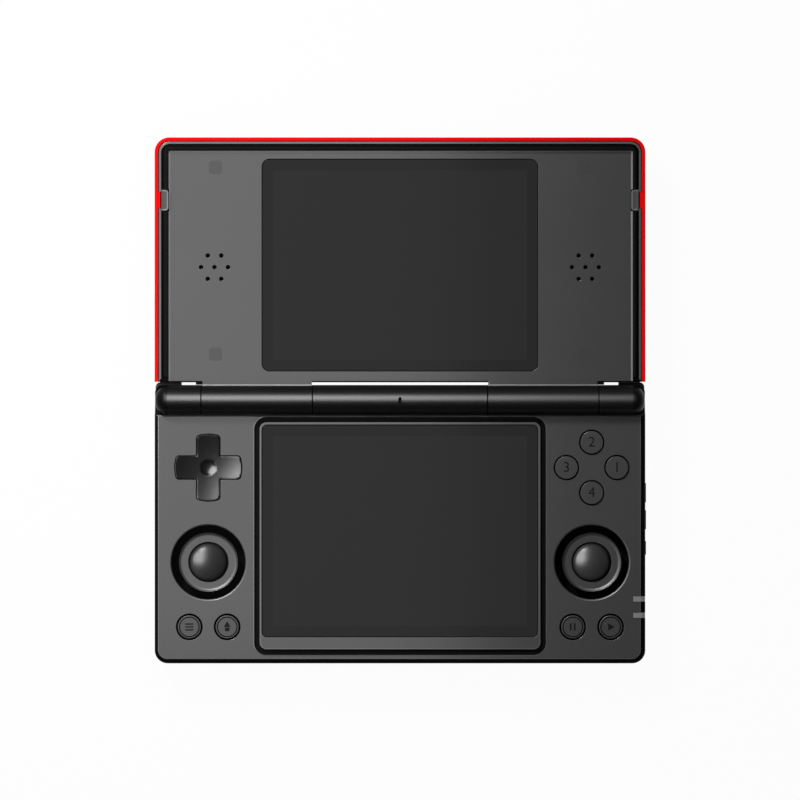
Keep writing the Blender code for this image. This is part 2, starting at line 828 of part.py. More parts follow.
def make_lid():
    pivot = bpy.data.objects.new("lid_hinge_axis", None)
    pivot.location = (0, 0, HINGE_Z)
    PARTS.objects.link(pivot)
    pieces = [make_lid_outer(), make_lid_inner()]
    pieces += make_screen("upper", UPPER_GLASS_Y, PLATE_Z)
    for side, name in ((-1, "left"), (1, "right")):
        pieces.append(make_lid_barrel(side, name))
        pieces.append(make_speaker(side, name))
        pieces.append(make_bumper(side, name))
    pieces += make_plugs()
    for piece in pieces:
        piece.parent = pivot
        piece.matrix_parent_inverse = Matrix.Translation(pivot.location).inverted()


def make_lid_outer():
    outline = rounded((-SIDE_X, LID_SETBACK), (SIDE_X, FAR_Y), LID_CORNER, 0.0)
    cover = plate("lid_outer_cover", [outline], LID_BACK_Z, RIM_Z)
    round_edges(
        cover, LID_ROUNDING, 3, lambda middle: middle.z < LID_BACK_Z + LID_ROUNDING / 2
    )
    inner_near_y = LID_SETBACK + LID_WALL
    cavity = plate(
        "lid_outer_cavity",
        [
            rounded(
                (-SIDE_X + LID_WALL, inner_near_y),
                (SIDE_X - LID_WALL, FAR_Y - LID_WALL),
                LID_CORNER - LID_WALL,
                0.0,
            )
        ],
        LID_BACK_Z + LID_BACK,
        RIM_Z + PAST,
        cutter=True,
    )
    near_top_z = LID_BACK_Z + LID_NEAR_WALL_HEIGHT
    near_opening = box(
        "lid_outer_near_opening",
        (-SIDE_X + LID_WALL, LID_SETBACK - PAST, near_top_z),
        (SIDE_X - LID_WALL, inner_near_y + PAST, RIM_Z + PAST),
        cutter=True,
    )
    cut(cover, cavity, near_opening)
    for side in (-1, 1):
        low_y, high_y = bumper_span()
        inner_x = bumper_outer_x() + SEAM_GAP
        tab = box(
            "lid_outer_bumper_tab",
            (min(side * inner_x, side * (SIDE_X - LID_WALL / 2)), low_y, PLATE_Z),
            (max(side * inner_x, side * (SIDE_X - LID_WALL / 2)), high_y, RIM_Z - MM / 20),
            cutter=True,
        )
        join(cover, tab)
    return finish(cover, RED, 0.35)


def bumper_span():
    middle = FAR_Y - BUMPER_FROM_FAR
    return middle - BUMPER_LENGTH / 2, middle + BUMPER_LENGTH / 2


def bumper_outer_x():
    return RIM_X - SEAM_GAP * 2


def make_lid_inner():
    outline = rounded((-RIM_X, LID_SETBACK), (RIM_X, RIM_FAR_Y), LID_CORNER - LID_WALL, 0.0)
    skirt_z = PLATE_UNDER_Z - SKIRT_DEPTH
    cover = plate("lid_inner_cover", [outline], skirt_z, RIM_Z)
    pocket = plate(
        "lid_inner_pocket",
        [
            rounded(
                (-PLATE_X, LID_SETBACK - PAST),
                (PLATE_X, PLATE_FAR_Y),
                PLATE_CORNER,
                0.0,
            )
        ],
        PLATE_Z,
        RIM_Z + PAST,
        cutter=True,
    )
    under = plate(
        "lid_inner_under",
        [
            rounded(
                (-RIM_X + SKIRT_WALL, LID_SETBACK + SKIRT_WALL),
                (RIM_X - SKIRT_WALL, RIM_FAR_Y - SKIRT_WALL),
                LID_CORNER - LID_WALL - SKIRT_WALL,
                0.0,
            )
        ],
        skirt_z - PAST,
        PLATE_UNDER_Z,
        cutter=True,
    )
    cut(cover, pocket, under)
    for side in (-1, 1):
        ends = sorted((side * CENTRE_END_X, side * LID_END_X))
        notch = box(
            "lid_inner_tongue_notch",
            (ends[0], LID_SETBACK - PAST, skirt_z - PAST),
            (ends[1], LID_SETBACK + SKIRT_WALL + PAST, PLATE_UNDER_Z),
            cutter=True,
        )
        cut(cover, notch)
        tab = box(
            "lid_inner_plate_tab",
            (ends[0] + STATIC_GAP, LID_SETBACK - PLATE_TAB, PLATE_UNDER_Z),
            (ends[1] - STATIC_GAP, LID_SETBACK + PLATE_TAB, PLATE_Z),
            cutter=True,
        )
        join(cover, tab)
        low_y, high_y = bumper_span()
        inner_x = bumper_outer_x() - BUMPER_WIDTH - SEAM_GAP
        seat = box(
            "lid_inner_bumper_seat",
            (
                min(side * inner_x, side * (SIDE_X + PAST)),
                low_y - SEAM_GAP,
                bumper_z() - SEAM_GAP,
            ),
            (max(side * inner_x, side * (SIDE_X + PAST)), high_y + SEAM_GAP, RIM_Z + PAST),
            cutter=True,
        )
        cut(cover, seat)
        for x, y in grille_places(side):
            hole = rod(
                "grille_hole",
                (x, y, PLATE_UNDER_Z - PAST),
                (x, y, PLATE_Z + PAST),
                GRILLE_HOLE,
                10,
                cutter=True,
            )
            cut(cover, hole)
    for number, (x, y) in enumerate(plug_places(), 1):
        pocket = plate(
            f"plug_pocket_{number}",
            [plug_outline(x, y, SEAM_GAP)],
            PLATE_Z - PLUG_THICKNESS - SEAM_GAP,
            PLATE_Z + PAST,
            cutter=True,
        )
        cut(cover, pocket)
    cut_screen_seat(cover, "upper", UPPER_GLASS_Y, PLATE_Z, PLATE_UNDER_Z)
    return finish(cover, GREY, 0.45, 0.2)


def grille_places(side):
    """Seven holes: one in the middle and six round it."""
    x = side * (SIDE_X - SPEAKER_INSET)
    ring = [i * pi / 3 for i in range(6)]
    around = [(x + GRILLE_PITCH * cos(t), SPEAKER_Y + GRILLE_PITCH * sin(t)) for t in ring]
    return [(x, SPEAKER_Y), *around]


def plug_places():
    x = SIDE_X - PLUG_INSET
    rows = (LID_SETBACK + PLUG_FROM_NEAR, FAR_Y - PLUG_FROM_FAR)
    return [(side * x, y) for y in rows for side in (-1, 1)]


def plug_outline(x, y, grow=0.0):
    half = PLUG_SIZE / 2 + grow
    return rounded((x - half, y - half), (x + half, y + half), PLUG_CORNER + grow)


def make_plugs():
    names = ("near_left_plug", "near_right_plug", "far_left_plug", "far_right_plug")
    pieces = []
    for name, (x, y) in zip(names, plug_places()):
        plug = plate(name, [plug_outline(x, y)], PLATE_Z - PLUG_THICKNESS, PLATE_Z)
        pieces.append(finish(plug, RUBBER, 0.75))
    return pieces


def bumper_z():
    return RIM_Z + BUMPER_PROUD - BUMPER_DEPTH


def make_bumper(side, name):
    low_y, high_y = bumper_span()
    outer = bumper_outer_x()
    inner = outer - BUMPER_WIDTH
    outline = [
        (outer, low_y),
        (outer, high_y),
        *arc((inner + BUMPER_CORNER, high_y - BUMPER_CORNER), BUMPER_CORNER, 90, 180, 4),
        *arc((inner + BUMPER_CORNER, low_y + BUMPER_CORNER), BUMPER_CORNER, 180, 270, 4),
    ]
    bumper = plate(
        f"{name}_rim_bumper", [mirrored(outline, side)], bumper_z(), RIM_Z + BUMPER_PROUD
    )
    return finish(bumper, SMOKE, 0.7)


def make_lid_barrel(side, name):
    outer = LID_END_X - KNUCKLE_GAP / 2
    inner = CENTRE_END_X + KNUCKLE_GAP / 2
    barrel = turned(
        f"lid_barrel_{name}",
        tube_profile(outer, inner),
        (0, 0, HINGE_Z),
        BARREL_SIDES,
        closed=True,
    )
    barrel.rotation_euler = barrel_turn(side)
    ends = sorted((side * (inner + STATIC_GAP), side * (outer - STATIC_GAP)))
    tongue = box(
        barrel.name + "_tongue",
        (ends[0], TONGUE_ROOT_Y, TONGUE_Z),
        (ends[1], TONGUE_ROOT_Y + TONGUE_LENGTH, TONGUE_TOP_Z),
        cutter=True,
    )
    join(barrel, tongue)
    return finish(barrel, BLACK, 0.2)


def make_speaker(side, name):
    top = PLATE_UNDER_Z - STATIC_GAP
    bottom = top - SPEAKER_THICKNESS
    shoulder = top - SPEAKER_THICKNESS / 2
    profile = [
        (0, top - SPEAKER_THICKNESS / 4),
        (SPEAKER_RADIUS * 0.8, top),
        (SPEAKER_RADIUS, top),
        (SPEAKER_RADIUS, shoulder),
        (SPEAKER_MAGNET_RADIUS, shoulder),
        (SPEAKER_MAGNET_RADIUS, bottom),
        (0, bottom),
    ]
    x = side * (SIDE_X - SPEAKER_INSET)
    speaker = turned(f"{name}_speaker", profile, (x, SPEAKER_Y, 0))
    return finish(speaker, BLACK, 0.6)


# Controls on the deck


def make_dpad(deck):
    x, y = -CONTROL_X, PAD_ROW_Y
    half_span = DPAD_SPAN / 2
    half_arm = DPAD_ARM / 2
    top = DECK_Z + DPAD_PROUD
    flange_top = DECK_UNDER_Z - DPAD_TILT_ROOM
    flange_bottom = flange_top - FLANGE_THICKNESS
    pivot = (x, y, flange_bottom)
    outline = shifted(cross(half_span, half_arm, DPAD_CORNER), x, y)
    pad = plate("dpad", [outline], flange_top - FLANGE_THICKNESS / 2, top)
    round_edges(pad, DPAD_EDGE, 2, lambda middle: middle.z > DECK_Z)
    lip = RUNNING_GAP + FLANGE_LIP
    flange_outline = shifted(cross(half_span + lip, half_arm + lip, DPAD_CORNER + lip), x, y)
    flange = plate("dpad_flange", [flange_outline], flange_bottom, flange_top, cutter=True)
    join(pad, flange)
    hollow = bowl("dpad_hollow", half_span, DPAD_HOLLOW_DEPTH, (x, y, top), 40)
    centre = (x, y, top - DPAD_HOLLOW_DEPTH)
    dish = bowl("dpad_dish", DPAD_DISH_RADIUS, DPAD_DISH_DEPTH, centre, ROUND_SIDES)
    cut(pad, hollow, dish)
    move_origin(pad, pivot)
    finish(pad, BLACK, 0.35)
    opening_outline = cross(
        half_span + RUNNING_GAP, half_arm + RUNNING_GAP, DPAD_CORNER + RUNNING_GAP
    )
    opening = plate(
        "dpad_opening",
        [shifted(opening_outline, x, y)],
        DECK_UNDER_Z - PAST,
        DECK_Z + PAST,
        cutter=True,
    )
    cut(deck, opening)
    ball = turned(
        "dpad_pivot",
        [
            (0, -STATIC_GAP),
            (PIVOT_RADIUS * 0.7, -STATIC_GAP),
            (PIVOT_RADIUS, -STATIC_GAP - PIVOT_HEIGHT / 2),
            (PIVOT_RADIUS * 0.7, -STATIC_GAP - PIVOT_HEIGHT),
            (0, -STATIC_GAP - PIVOT_HEIGHT),
        ],
        pivot,
        16,
    )
    finish(ball, SMOKE, 0.6)
    make_membrane(
        "dpad_membrane",
        (x, y),
        half_span,
        [(half_span - half_arm * 0.9, quarter * pi / 2) for quarter in range(4)],
    )


def bowl(name, rim, depth, location, sides):
    """A cutter for a round hollow of the given rim radius and depth below a point."""
    sphere = (rim * rim + depth * depth) / (2 * depth)
    edge = sqrt(sphere * sphere - rim * rim)
    past_rim = rim * 1.25
    profile = [(0.0, PAST), (past_rim, PAST)]
    for step in range(7):
        radius = past_rim * (1 - step / 6)
        profile.append((radius, edge - sqrt(sphere * sphere - radius * radius)))
    return turned(name, profile, location, sides, cutter=True)


def make_membrane(name, centre, half, domes):
    """A rubber sheet on the board with a switch dome under each contact."""
    x, y = centre
    low_z = BOARD_TOP_Z + STATIC_GAP
    sheet_z = low_z + MEMBRANE_SHEET
    outline = rounded((x - half, y - half), (x + half, y + half), MEMBRANE_DOME_RADIUS)
    sheet = plate(name, [outline], low_z, sheet_z)
    for radius, angle in domes:
        dome = turned(
            name + "_dome",
            [
                (0, MEMBRANE_DOME),
                (MEMBRANE_DOME_RADIUS * 0.6, MEMBRANE_DOME),
                (MEMBRANE_DOME_RADIUS, -MEMBRANE_SHEET / 2),
                (0, -MEMBRANE_SHEET / 2),
            ],
            (x + radius * cos(angle), y + radius * sin(angle), sheet_z),
            12,
            cutter=True,
        )
        join(sheet, dome)
    finish(sheet, SMOKE, 0.8)


def make_button(deck, name, x, y, radius, proud):
    """A round button with a flange under the deck, its origin on its line of travel."""
    top = DECK_Z + proud
    flange_radius = radius + RUNNING_GAP + FLANGE_LIP
    flange_bottom = FLANGE_TOP_Z - FLANGE_THICKNESS
    stem_bottom = flange_bottom - STEM_LENGTH
    profile = [
        (0, top),
        (radius - CAP_EDGE, top),
        (radius, top - CAP_EDGE),
        (radius, FLANGE_TOP_Z),
        (flange_radius, FLANGE_TOP_Z),
        (flange_radius, flange_bottom),
        (STEM_RADIUS, flange_bottom),
        (STEM_RADIUS, stem_bottom),
        (0, stem_bottom),
    ]
    button = turned(name, [(r, z - DECK_Z) for r, z in profile], (x, y, DECK_Z))
    hole = rod(
        name + "_hole",
        (x, y, DECK_UNDER_Z - PAST),
        (x, y, DECK_Z + PAST),
        radius + RUNNING_GAP,
        ROUND_SIDES,
        cutter=True,
    )
    cut(deck, hole)
    return finish(button, GREY, 0.4, 0.1)


def make_buttons(deck):
    for number, angle in ((1, 0), (2, 90), (3, 180), (4, 270)):
        x = CONTROL_X + FACE_PITCH_RADIUS * cos(radians(angle))
        y = PAD_ROW_Y + FACE_PITCH_RADIUS * sin(radians(angle))
        make_button(deck, f"face_button_{number}", x, y, FACE_RADIUS, FACE_PROUD)
    make_membrane(
        "button_membrane",
        (CONTROL_X, PAD_ROW_Y),
        FACE_PITCH_RADIUS + MEMBRANE_DOME_RADIUS,
        [(FACE_PITCH_RADIUS, quarter * pi / 2) for quarter in range(4)],
    )
    for name, (x, y) in small_places().items():
        make_button(deck, name, x, y, SMALL_RADIUS, SMALL_PROUD)


def small_places():
    names = (("menu_button", -1, 1), ("home_button", -1, -1))
    names += (("select_button", 1, -1), ("start_button", 1, 1))
    places = {}
    for name, side, outward in names:
        x = side * (CONTROL_X + outward * SMALL_PITCH / 2)
        places[name] = (x, SMALL_ROW_Y)
    return places


def make_sticks(deck):
    for side, name in ((-1, "left"), (1, "right")):
        make_stick(deck, f"{name}_stick", side * CONTROL_X, STICK_ROW_Y)


def make_stick(deck, name, x, y):
    """A thumb stick: module, tilting rocker, stem through it and the clicking cap."""
    well_bottom = DECK_Z - STICK_WELL_DEPTH
    wall_radius = STICK_WELL_RADIUS + STICK_WELL_WALL
    wall = rod(
        name + "_well_wall",
        (x, y, well_bottom),
        (x, y, DECK_UNDER_Z + DECK_TOP / 2),
        wall_radius,
        BARREL_SIDES,
        cutter=True,
    )
    well = rod(
        name + "_well",
        (x, y, well_bottom - PAST),
        (x, y, DECK_Z + PAST),
        STICK_WELL_RADIUS,
        BARREL_SIDES,
        cutter=True,
    )
    join(deck, wall)
    cut(deck, well)

    pivot = (x, y, PIVOT_Z)
    make_stick_module(name, x, y)
    rocker = turned(
        name + "_rocker",
        [
            (ROCKER_RADIUS, ROCKER_HALF),
            (ROCKER_RADIUS, -ROCKER_HALF),
            (ROCKER_BORE, -ROCKER_HALF),
            (ROCKER_BORE, ROCKER_HALF),
        ],
        pivot,
        20,
        closed=True,
    )
    for side in (-1, 1):
        pin = rod(
            rocker.name + "_pin",
            (x + side * (ROCKER_RADIUS + ROCKER_BORE) / 2, y, PIVOT_Z),
            (x + side * (MODULE_CAVITY - RUNNING_GAP), y, PIVOT_Z),
            ROCKER_PIN,
            10,
            cutter=True,
        )
        join(rocker, pin)
    finish(rocker, SMOKE, 0.5)

    disc_top = STICK_PIVOT_DROP - STICK_DISC_DROP
    disc_bottom = disc_top - STICK_DISC_THICKNESS
    shaft_top = disc_top - STICK_CLICK - STATIC_GAP
    neck = sqrt(STICK_BALL_RADIUS**2 - STICK_SHAFT_RADIUS**2)
    ball = arc((0, 0), STICK_BALL_RADIUS, 35, STICK_BALL_FLAT, 5)
    stem = turned(
        name + "_stem",
        [
            (0, shaft_top),
            (STICK_SHAFT_RADIUS, shaft_top),
            (STICK_SHAFT_RADIUS, neck),
            *ball,
            (0, ball[-1][1]),
        ],
        pivot,
        16,
    )
    finish(stem, STEEL, 0.35, 0.8)

    dome_sphere = (STICK_DOME_RADIUS**2 + STICK_DOME_HEIGHT**2) / (2 * STICK_DOME_HEIGHT)
    dome = []
    for i in range(6):
        radius = STICK_DOME_RADIUS * i / 5
        drop = dome_sphere - sqrt(dome_sphere**2 - radius**2)
        dome.append((radius, disc_top + STICK_DOME_HEIGHT - drop))
    bore = STICK_SHAFT_RADIUS + STATIC_GAP
    hub_bottom = disc_bottom - STICK_HUB_LENGTH
    cap = turned(
        name + "_cap",
        [
            *dome,
            (STICK_DISC_RADIUS - STICK_LIP_WIDTH, disc_top),
            (STICK_DISC_RADIUS - CAP_EDGE, disc_top + STICK_LIP_HEIGHT),
            (STICK_DISC_RADIUS, disc_top),
            (STICK_DISC_RADIUS, disc_bottom),
            (STICK_HUB_RADIUS, disc_bottom),
            (STICK_HUB_RADIUS, hub_bottom),
            (bore, hub_bottom),
            (bore, disc_top),
            (0, disc_top),
        ],
        pivot,
        32,
    )
    finish(cap, GREY, 0.5)


def make_stick_module(name, x, y):
    """A square cup on the tray's floor with a round flange that closes the well below."""
    half = MODULE_WIDTH / 2
    low_z = TRAY_FLOOR_Z + STATIC_GAP
    top_z = PIVOT_Z + MODULE_RIM
    outline = rounded((x - half, y - half), (x + half, y + half), MODULE_RIM)
    module = plate(name + "_module", [outline], low_z, top_z)
    flange = rod(
        module.name + "_flange",
        (x, y, top_z - MODULE_FLANGE),
        (x, y, top_z),
        MODULE_FLANGE_RADIUS,
        32,
        cutter=True,
    )
    join(module, flange)
    cavity = rod(
        module.name + "_cavity",
        (x, y, low_z + MODULE_FLOOR),
        (x, y, top_z + PAST),
        MODULE_CAVITY,
        20,
        cutter=True,
    )
    cut(module, cavity)
    finish(module, BLACK, 0.6)


# Keys on the sides


def side_key_heights():
    high = DECK_Z - KEY_BELOW_DECK
    return high - KEY_HEIGHT, high


def make_side_keys(deck):
    wall_x = SIDE_X - DECK_WALL
    flange_x = wall_x - KEY_ROOM
    inner_x = flange_x - KEY_FLANGE
    proud_x = SIDE_X + KEY_PROUD
    low_z, high_z = side_key_heights()
    for name, rear, length in (
        ("volume_rocker", VOLUME_REAR, VOLUME_LENGTH),
        ("power_key", POWER_REAR, POWER_LENGTH),
    ):
        front = rear - length
        face = [(proud_x, front), (proud_x, rear)]
        if name == "volume_rocker":
            dip_x = SIDE_X - KEY_PROUD
            face = [
                (proud_x, front),
                (proud_x, front + VOLUME_BUMP),
                (dip_x, front + VOLUME_BUMP + KEY_PROUD * 2),
                (dip_x, rear - VOLUME_BUMP - KEY_PROUD * 2),
                (proud_x, rear - VOLUME_BUMP),
                (proud_x, rear),
            ]
        outline = [
            *face,
            (flange_x, rear),
            (flange_x, rear + FLANGE_LIP),
            (inner_x, rear + FLANGE_LIP),
            (inner_x, front - FLANGE_LIP),
            (flange_x, front - FLANGE_LIP),
            (flange_x, front),
        ]
        key = plate(name, [outline], low_z, high_z)
        move_origin(key, ((inner_x + flange_x) / 2, (front + rear) / 2, (low_z + high_z) / 2))
        finish(key, BLACK, 0.35)
        slot = box(
            name + "_slot",
            (wall_x - PAST, front - RUNNING_GAP, low_z - RUNNING_GAP),
            (SIDE_X + PAST, rear + RUNNING_GAP, high_z + RUNNING_GAP),
            cutter=True,
        )
        cut(deck, slot)


def make_rear_keys(tray):
    """The shoulder buttons at the rear corners and the triggers beside them."""
    inner_wall_y = REAR_WALL_Y - TRAY_WALL
    flange_rear = inner_wall_y - RUNNING_GAP
    flange_front = flange_rear - REAR_KEY_FLANGE
    open_z = REAR_KEY_Z - RUNNING_GAP
    for side, name in ((-1, "left"), (1, "right")):
        outer = SIDE_X - RUNNING_GAP
        inner = outer - SHOULDER_WIDTH
        corner = SHOULDER_CORNER
        outline = [
            (inner, SHOULDER_FRONT_Y),
            (outer, SHOULDER_FRONT_Y),
            *arc((outer - corner, SHOULDER_REACH_Y - corner), corner, 0, 90),
            (inner, SHOULDER_REACH_Y),
            (inner, flange_rear),
            (inner - SHOULDER_TAB, flange_rear),
            (inner - SHOULDER_TAB, flange_front),
            (inner, flange_front),
        ]
        shoulder = plate(
            f"{name}_shoulder", [mirrored(outline, side)], REAR_KEY_Z, REAR_KEY_TOP_Z
        )
        move_origin(shoulder, (side * (outer + inner) / 2, SHOULDER_FRONT_Y, REAR_KEY_Z))
        finish(shoulder, BLACK, 0.35)
        clear_front = SHOULDER_FRONT_Y - SHOULDER_TRAVEL - RUNNING_GAP
        cut_rear_notch(tray, shoulder, side, inner, SIDE_X + PAST, clear_front, open_z)

        far = SIDE_X - TRIGGER_INSET
        near = far - TRIGGER_WIDTH
        lip = RUNNING_GAP + FLANGE_LIP
        outline = [
            (near - lip, flange_front),
            (far + lip, flange_front),
            (far + lip, flange_rear),
            (far, flange_rear),
            (far, TRIGGER_REACH_Y),
            (near, TRIGGER_REACH_Y),
            (near, flange_rear),
            (near - lip, flange_rear),
        ]
        trigger = plate(
            f"{name}_trigger", [mirrored(outline, side)], REAR_KEY_Z, REAR_KEY_TOP_Z
        )
        move_origin(trigger, (side * (far + near) / 2, flange_front, REAR_KEY_Z))
        finish(trigger, BLACK, 0.35)
        cut_rear_notch(
            tray, trigger, side, near, far + RUNNING_GAP, inner_wall_y - PAST / 4, open_z
        )


def cut_rear_notch(tray, key, side, inner, outer, front, low_z):
    ends = sorted((side * (inner - RUNNING_GAP), side * outer))
    notch = box(
        key.name + "_notch",
        (ends[0], front, low_z),
        (ends[1], REAR_WALL_Y + PAST, TRAY_TOP_Z + PAST),
        cutter=True,
    )
    cut(tray, notch)


def make_light_guide(deck):
    """Two light windows that wrap the right edge, on one bar under the deck."""
    top = DECK_Z - GLASS_FIT / 2
    inner = SIDE_X - LIGHT_LENGTH
    outer = SIDE_X - GLASS_FIT / 2
    bottom = DECK_Z - LIGHT_DEPTH
    half = LIGHT_WIDTH / 2
    places = (LIGHT_FIRST_Y, LIGHT_FIRST_Y - LIGHT_PITCH)
    bar_top = DECK_UNDER_Z - STATIC_GAP
    guide = box(
        "light_guide",
        (inner, places[1] - half, bar_top - LIGHT_BAR),
        (SIDE_X - DECK_WALL - STATIC_GAP, places[0] + half, bar_top),
    )
    rounding = DECK_ROUNDING
    for y in places:
        finger = box("light_finger", (inner, y - half, bottom), (outer, y + half, top), True)
        round_edges(
            finger,
            rounding,
            3,
            lambda middle: middle.x > outer - rounding / 2 and middle.z > top - rounding / 2,
        )
        join(guide, finger)
        gap = GLASS_FIT
        slot = box(
            "light_slot",
            (inner - gap, y - half - gap, bottom - gap),
            (SIDE_X + PAST, y + half + gap, DECK_Z + PAST),
            cutter=True,
        )
        cut(deck, slot)
    finish(guide, SMOKE, 0.3)


# Inside the base


def make_board():
    x = SIDE_X - BOARD_SIDE_INSET
    front = FRONT_Y + BOARD_FRONT_INSET
    board = box("main_board", (-x, front, BOARD_Z), (x, BOARD_REAR_Y, BOARD_TOP_Z))
    half_x = BATTERY_WIDTH / 2
    half_y = BATTERY_LENGTH / 2
    low_z = TRAY_FLOOR_Z + STATIC_GAP
    battery_low = (-half_x, BATTERY_Y - half_y, low_z)
    battery_high = (half_x, BATTERY_Y + half_y, low_z + BATTERY_THICKNESS)
    battery = box("battery", battery_low, battery_high)
    finish(battery, FOIL, 0.45, 0.2)
    room = Vector((BATTERY_ROOM, BATTERY_ROOM, PAST))
    window_low = Vector(battery_low) - room
    window_high = Vector(battery_high) + room
    cut(board, box("board_battery_window", window_low, window_high, cutter=True))
    half = MODULE_WIDTH / 2 + STATIC_GAP
    for side in (-1, 1):
        window = box(
            "board_stick_window",
            (side * CONTROL_X - half, STICK_ROW_Y - half, BOARD_Z - PAST),
            (side * CONTROL_X + half, STICK_ROW_Y + half, BOARD_TOP_Z + PAST),
            cutter=True,
        )
        cut(board, window)
    raised = [(x, y, SWITCH_SIZE, SWITCH_SIZE, SWITCH_HEIGHT) for x, y in small_places().values()]
    raised.append((0.0, BOARD_REAR_Y - CHIP_INSET, CHIP_WIDTH, CHIP_LENGTH, CHIP_HEIGHT))
    for x, y, width, length, height in raised:
        block = box(
            "board_block",
            (x - width / 2, y - length / 2, BOARD_Z + BOARD_THICKNESS / 2),
            (x + width / 2, y + length / 2, BOARD_TOP_Z + height),
            cutter=True,
        )
        join(board, block)
    finish(board, BOARD_GREEN, 0.5)


def make_usb(tray):
    """The charging socket in the front wall."""
    half_x = USB_WIDTH / 2
    half_z = USB_HEIGHT / 2
    middle_z = TRAY_FLOOR_Z + USB_LIFT + half_z
    front = FRONT_Y + SEAM_GAP

    def slab(name, grow, start, end, cutter):
        high = (half_x + grow, half_z + grow)
        outline = rounded((-high[0], -high[1]), high, high[1] * 0.98)
        piece = plate(name, [outline], -end, -start, cutter)
        piece.rotation_euler = (pi / 2, 0, 0)
        piece.location = (0, 0, middle_z)
        return piece

    socket = slab("usb_socket", 0.0, front, front + USB_LENGTH, False)
    hollow = slab("usb_hollow", -USB_WALL, front - PAST, front + USB_LENGTH - USB_BACK, True)
    cut(socket, hollow)
    tongue = box(
        "usb_tongue",
        (-USB_TONGUE_WIDTH / 2, front + USB_BACK, middle_z - USB_TONGUE_THICKNESS / 2),
        (
            USB_TONGUE_WIDTH / 2,
            front + USB_LENGTH - USB_BACK / 2,
            middle_z + USB_TONGUE_THICKNESS / 2,
        ),
        cutter=True,
    )
    join(socket, tongue)
    finish(socket, STEEL, 0.35, 1.0)
    cut(tray, slab("usb_opening", STATIC_GAP, FRONT_Y - PAST, FRONT_Y + TRAY_WALL + PAST, True))


def main():
    deck = make_deck()
    tray = make_base_cover()
    make_screen("lower", LOWER_GLASS_Y, DECK_Z)
    make_feet()
    make_case_screws()
    make_hinge(deck)
    make_dpad(deck)
    make_buttons(deck)
    make_sticks(deck)
    make_side_keys(deck)
    make_rear_keys(tray)
    make_light_guide(deck)
    make_board()
    make_usb(tray)
    make_lid()


main()
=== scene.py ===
"""Looks of a two-screen clamshell handheld game, lying open flat and seen from straight above.

Lengths are millimetres in the part's own frame: +X to the player's right, -Y towards the player,
+Z up, with the hinge axis over the origin. Meshes are scaled to metres as they are made.
"""

from math import cos, pi, radians, sin, sqrt

import bmesh
import bpy
from mathutils import Matrix, Vector


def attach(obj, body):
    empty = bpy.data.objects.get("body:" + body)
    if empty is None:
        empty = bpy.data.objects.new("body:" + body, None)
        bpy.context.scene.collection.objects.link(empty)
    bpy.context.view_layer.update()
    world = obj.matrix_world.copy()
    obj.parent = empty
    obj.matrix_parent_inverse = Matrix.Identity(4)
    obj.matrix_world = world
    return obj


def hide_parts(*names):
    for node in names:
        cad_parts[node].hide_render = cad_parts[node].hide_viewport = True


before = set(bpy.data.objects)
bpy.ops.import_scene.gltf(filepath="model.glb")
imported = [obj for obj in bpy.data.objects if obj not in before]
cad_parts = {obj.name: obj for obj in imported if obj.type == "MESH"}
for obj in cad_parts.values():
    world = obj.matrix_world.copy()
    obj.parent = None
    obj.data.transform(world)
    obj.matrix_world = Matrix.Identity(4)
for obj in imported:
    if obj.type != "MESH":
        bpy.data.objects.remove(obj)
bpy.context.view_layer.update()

MM = 0.001
SIDES = ((-1, "left"), (1, "right"))

# Plan of the case
SIDE = 80.0
FRONT = -85.7
DECK_FRONT = -85.82
FAR = 85.7
REAR_WALL = 4.4
DECK_REAR = 4.97
DECK_REAR_CORNER = 2.6
CASE_CORNER = 4.3
SHARP = 0.05

# How far cutters reach past what they cut, and a height over the deck and the lid
BEYOND = 2.0
ABOVE = 15.0

# Heights, walls and edges of the case
TRAY_LOW = 0.6
TRAY_FLOOR = 2.1
TRAY_HIGH = 6.65
DECK_LOW = 6.85
DECK_UNDER = 11.4
DECK_TOP = 13.0
OPENING_LOW = 10.5
TRAY_WALL = 1.5
DECK_WALL = 1.6
REAR_TOP = 11.6
TRAY_EDGE = 0.25
TRAY_ROUNDING = 2.0

# The deck's foot as (growth, rise), its border, painted black as the shade on its rounded edge
# and moved as it rises so that it is wider on the right and at the front, and the step to its top
# as (inset, drop)
DECK_FOOT = ((-0.25, 0), (-0.07, 0.07), (0, 0.25))
DECK_BORDER = 1.26
BORDER_RISE = 1.05
BORDER_SHIFT = (-0.2, 0.12)
DECK_STEP = 0.15
STEP_EDGE = ((0.03, 0.13), (0.07, 0.06), (0.16, 0.015), (0.3, 0))

# The moat round the lower screen, whose banks are (growth, height) steps with a narrow ledge
ISLAND = ((-45.74, -81.16), (45.74, -7.2))
ISLAND_CORNER = 2.2
MOAT = ((-47.55, -83.05), (47.55, -5.45))
MOAT_CORNER = 4.0
OUTER_LEDGE = ((0, 12.0), (0, 12.993), (0.43, 12.905), (0.45, 13.05), (0.45, 14.0))
ISLAND_LEDGE = ((0, 12.0), (0, 12.965), (0.42, 12.993), (0.45, 13.05), (0.45, 14.0))

# The sloped edge between the deck and the trough
BEVEL_FRONT = -5.41
BEVEL_REAR = -4.6
BEVEL_DROP = 0.48

# Right edge
KEY_SPANS = ((-42.1, -27.1), (-50.4, -46.0))
KEY_HEIGHTS = (7.85, 10.75)
KEY_SLOT_DEPTH = 3.6
LIGHT_PLACES = (-64.8, -70.1)
LIGHT_HALF = 0.95
LIGHT_INNER = 75.9

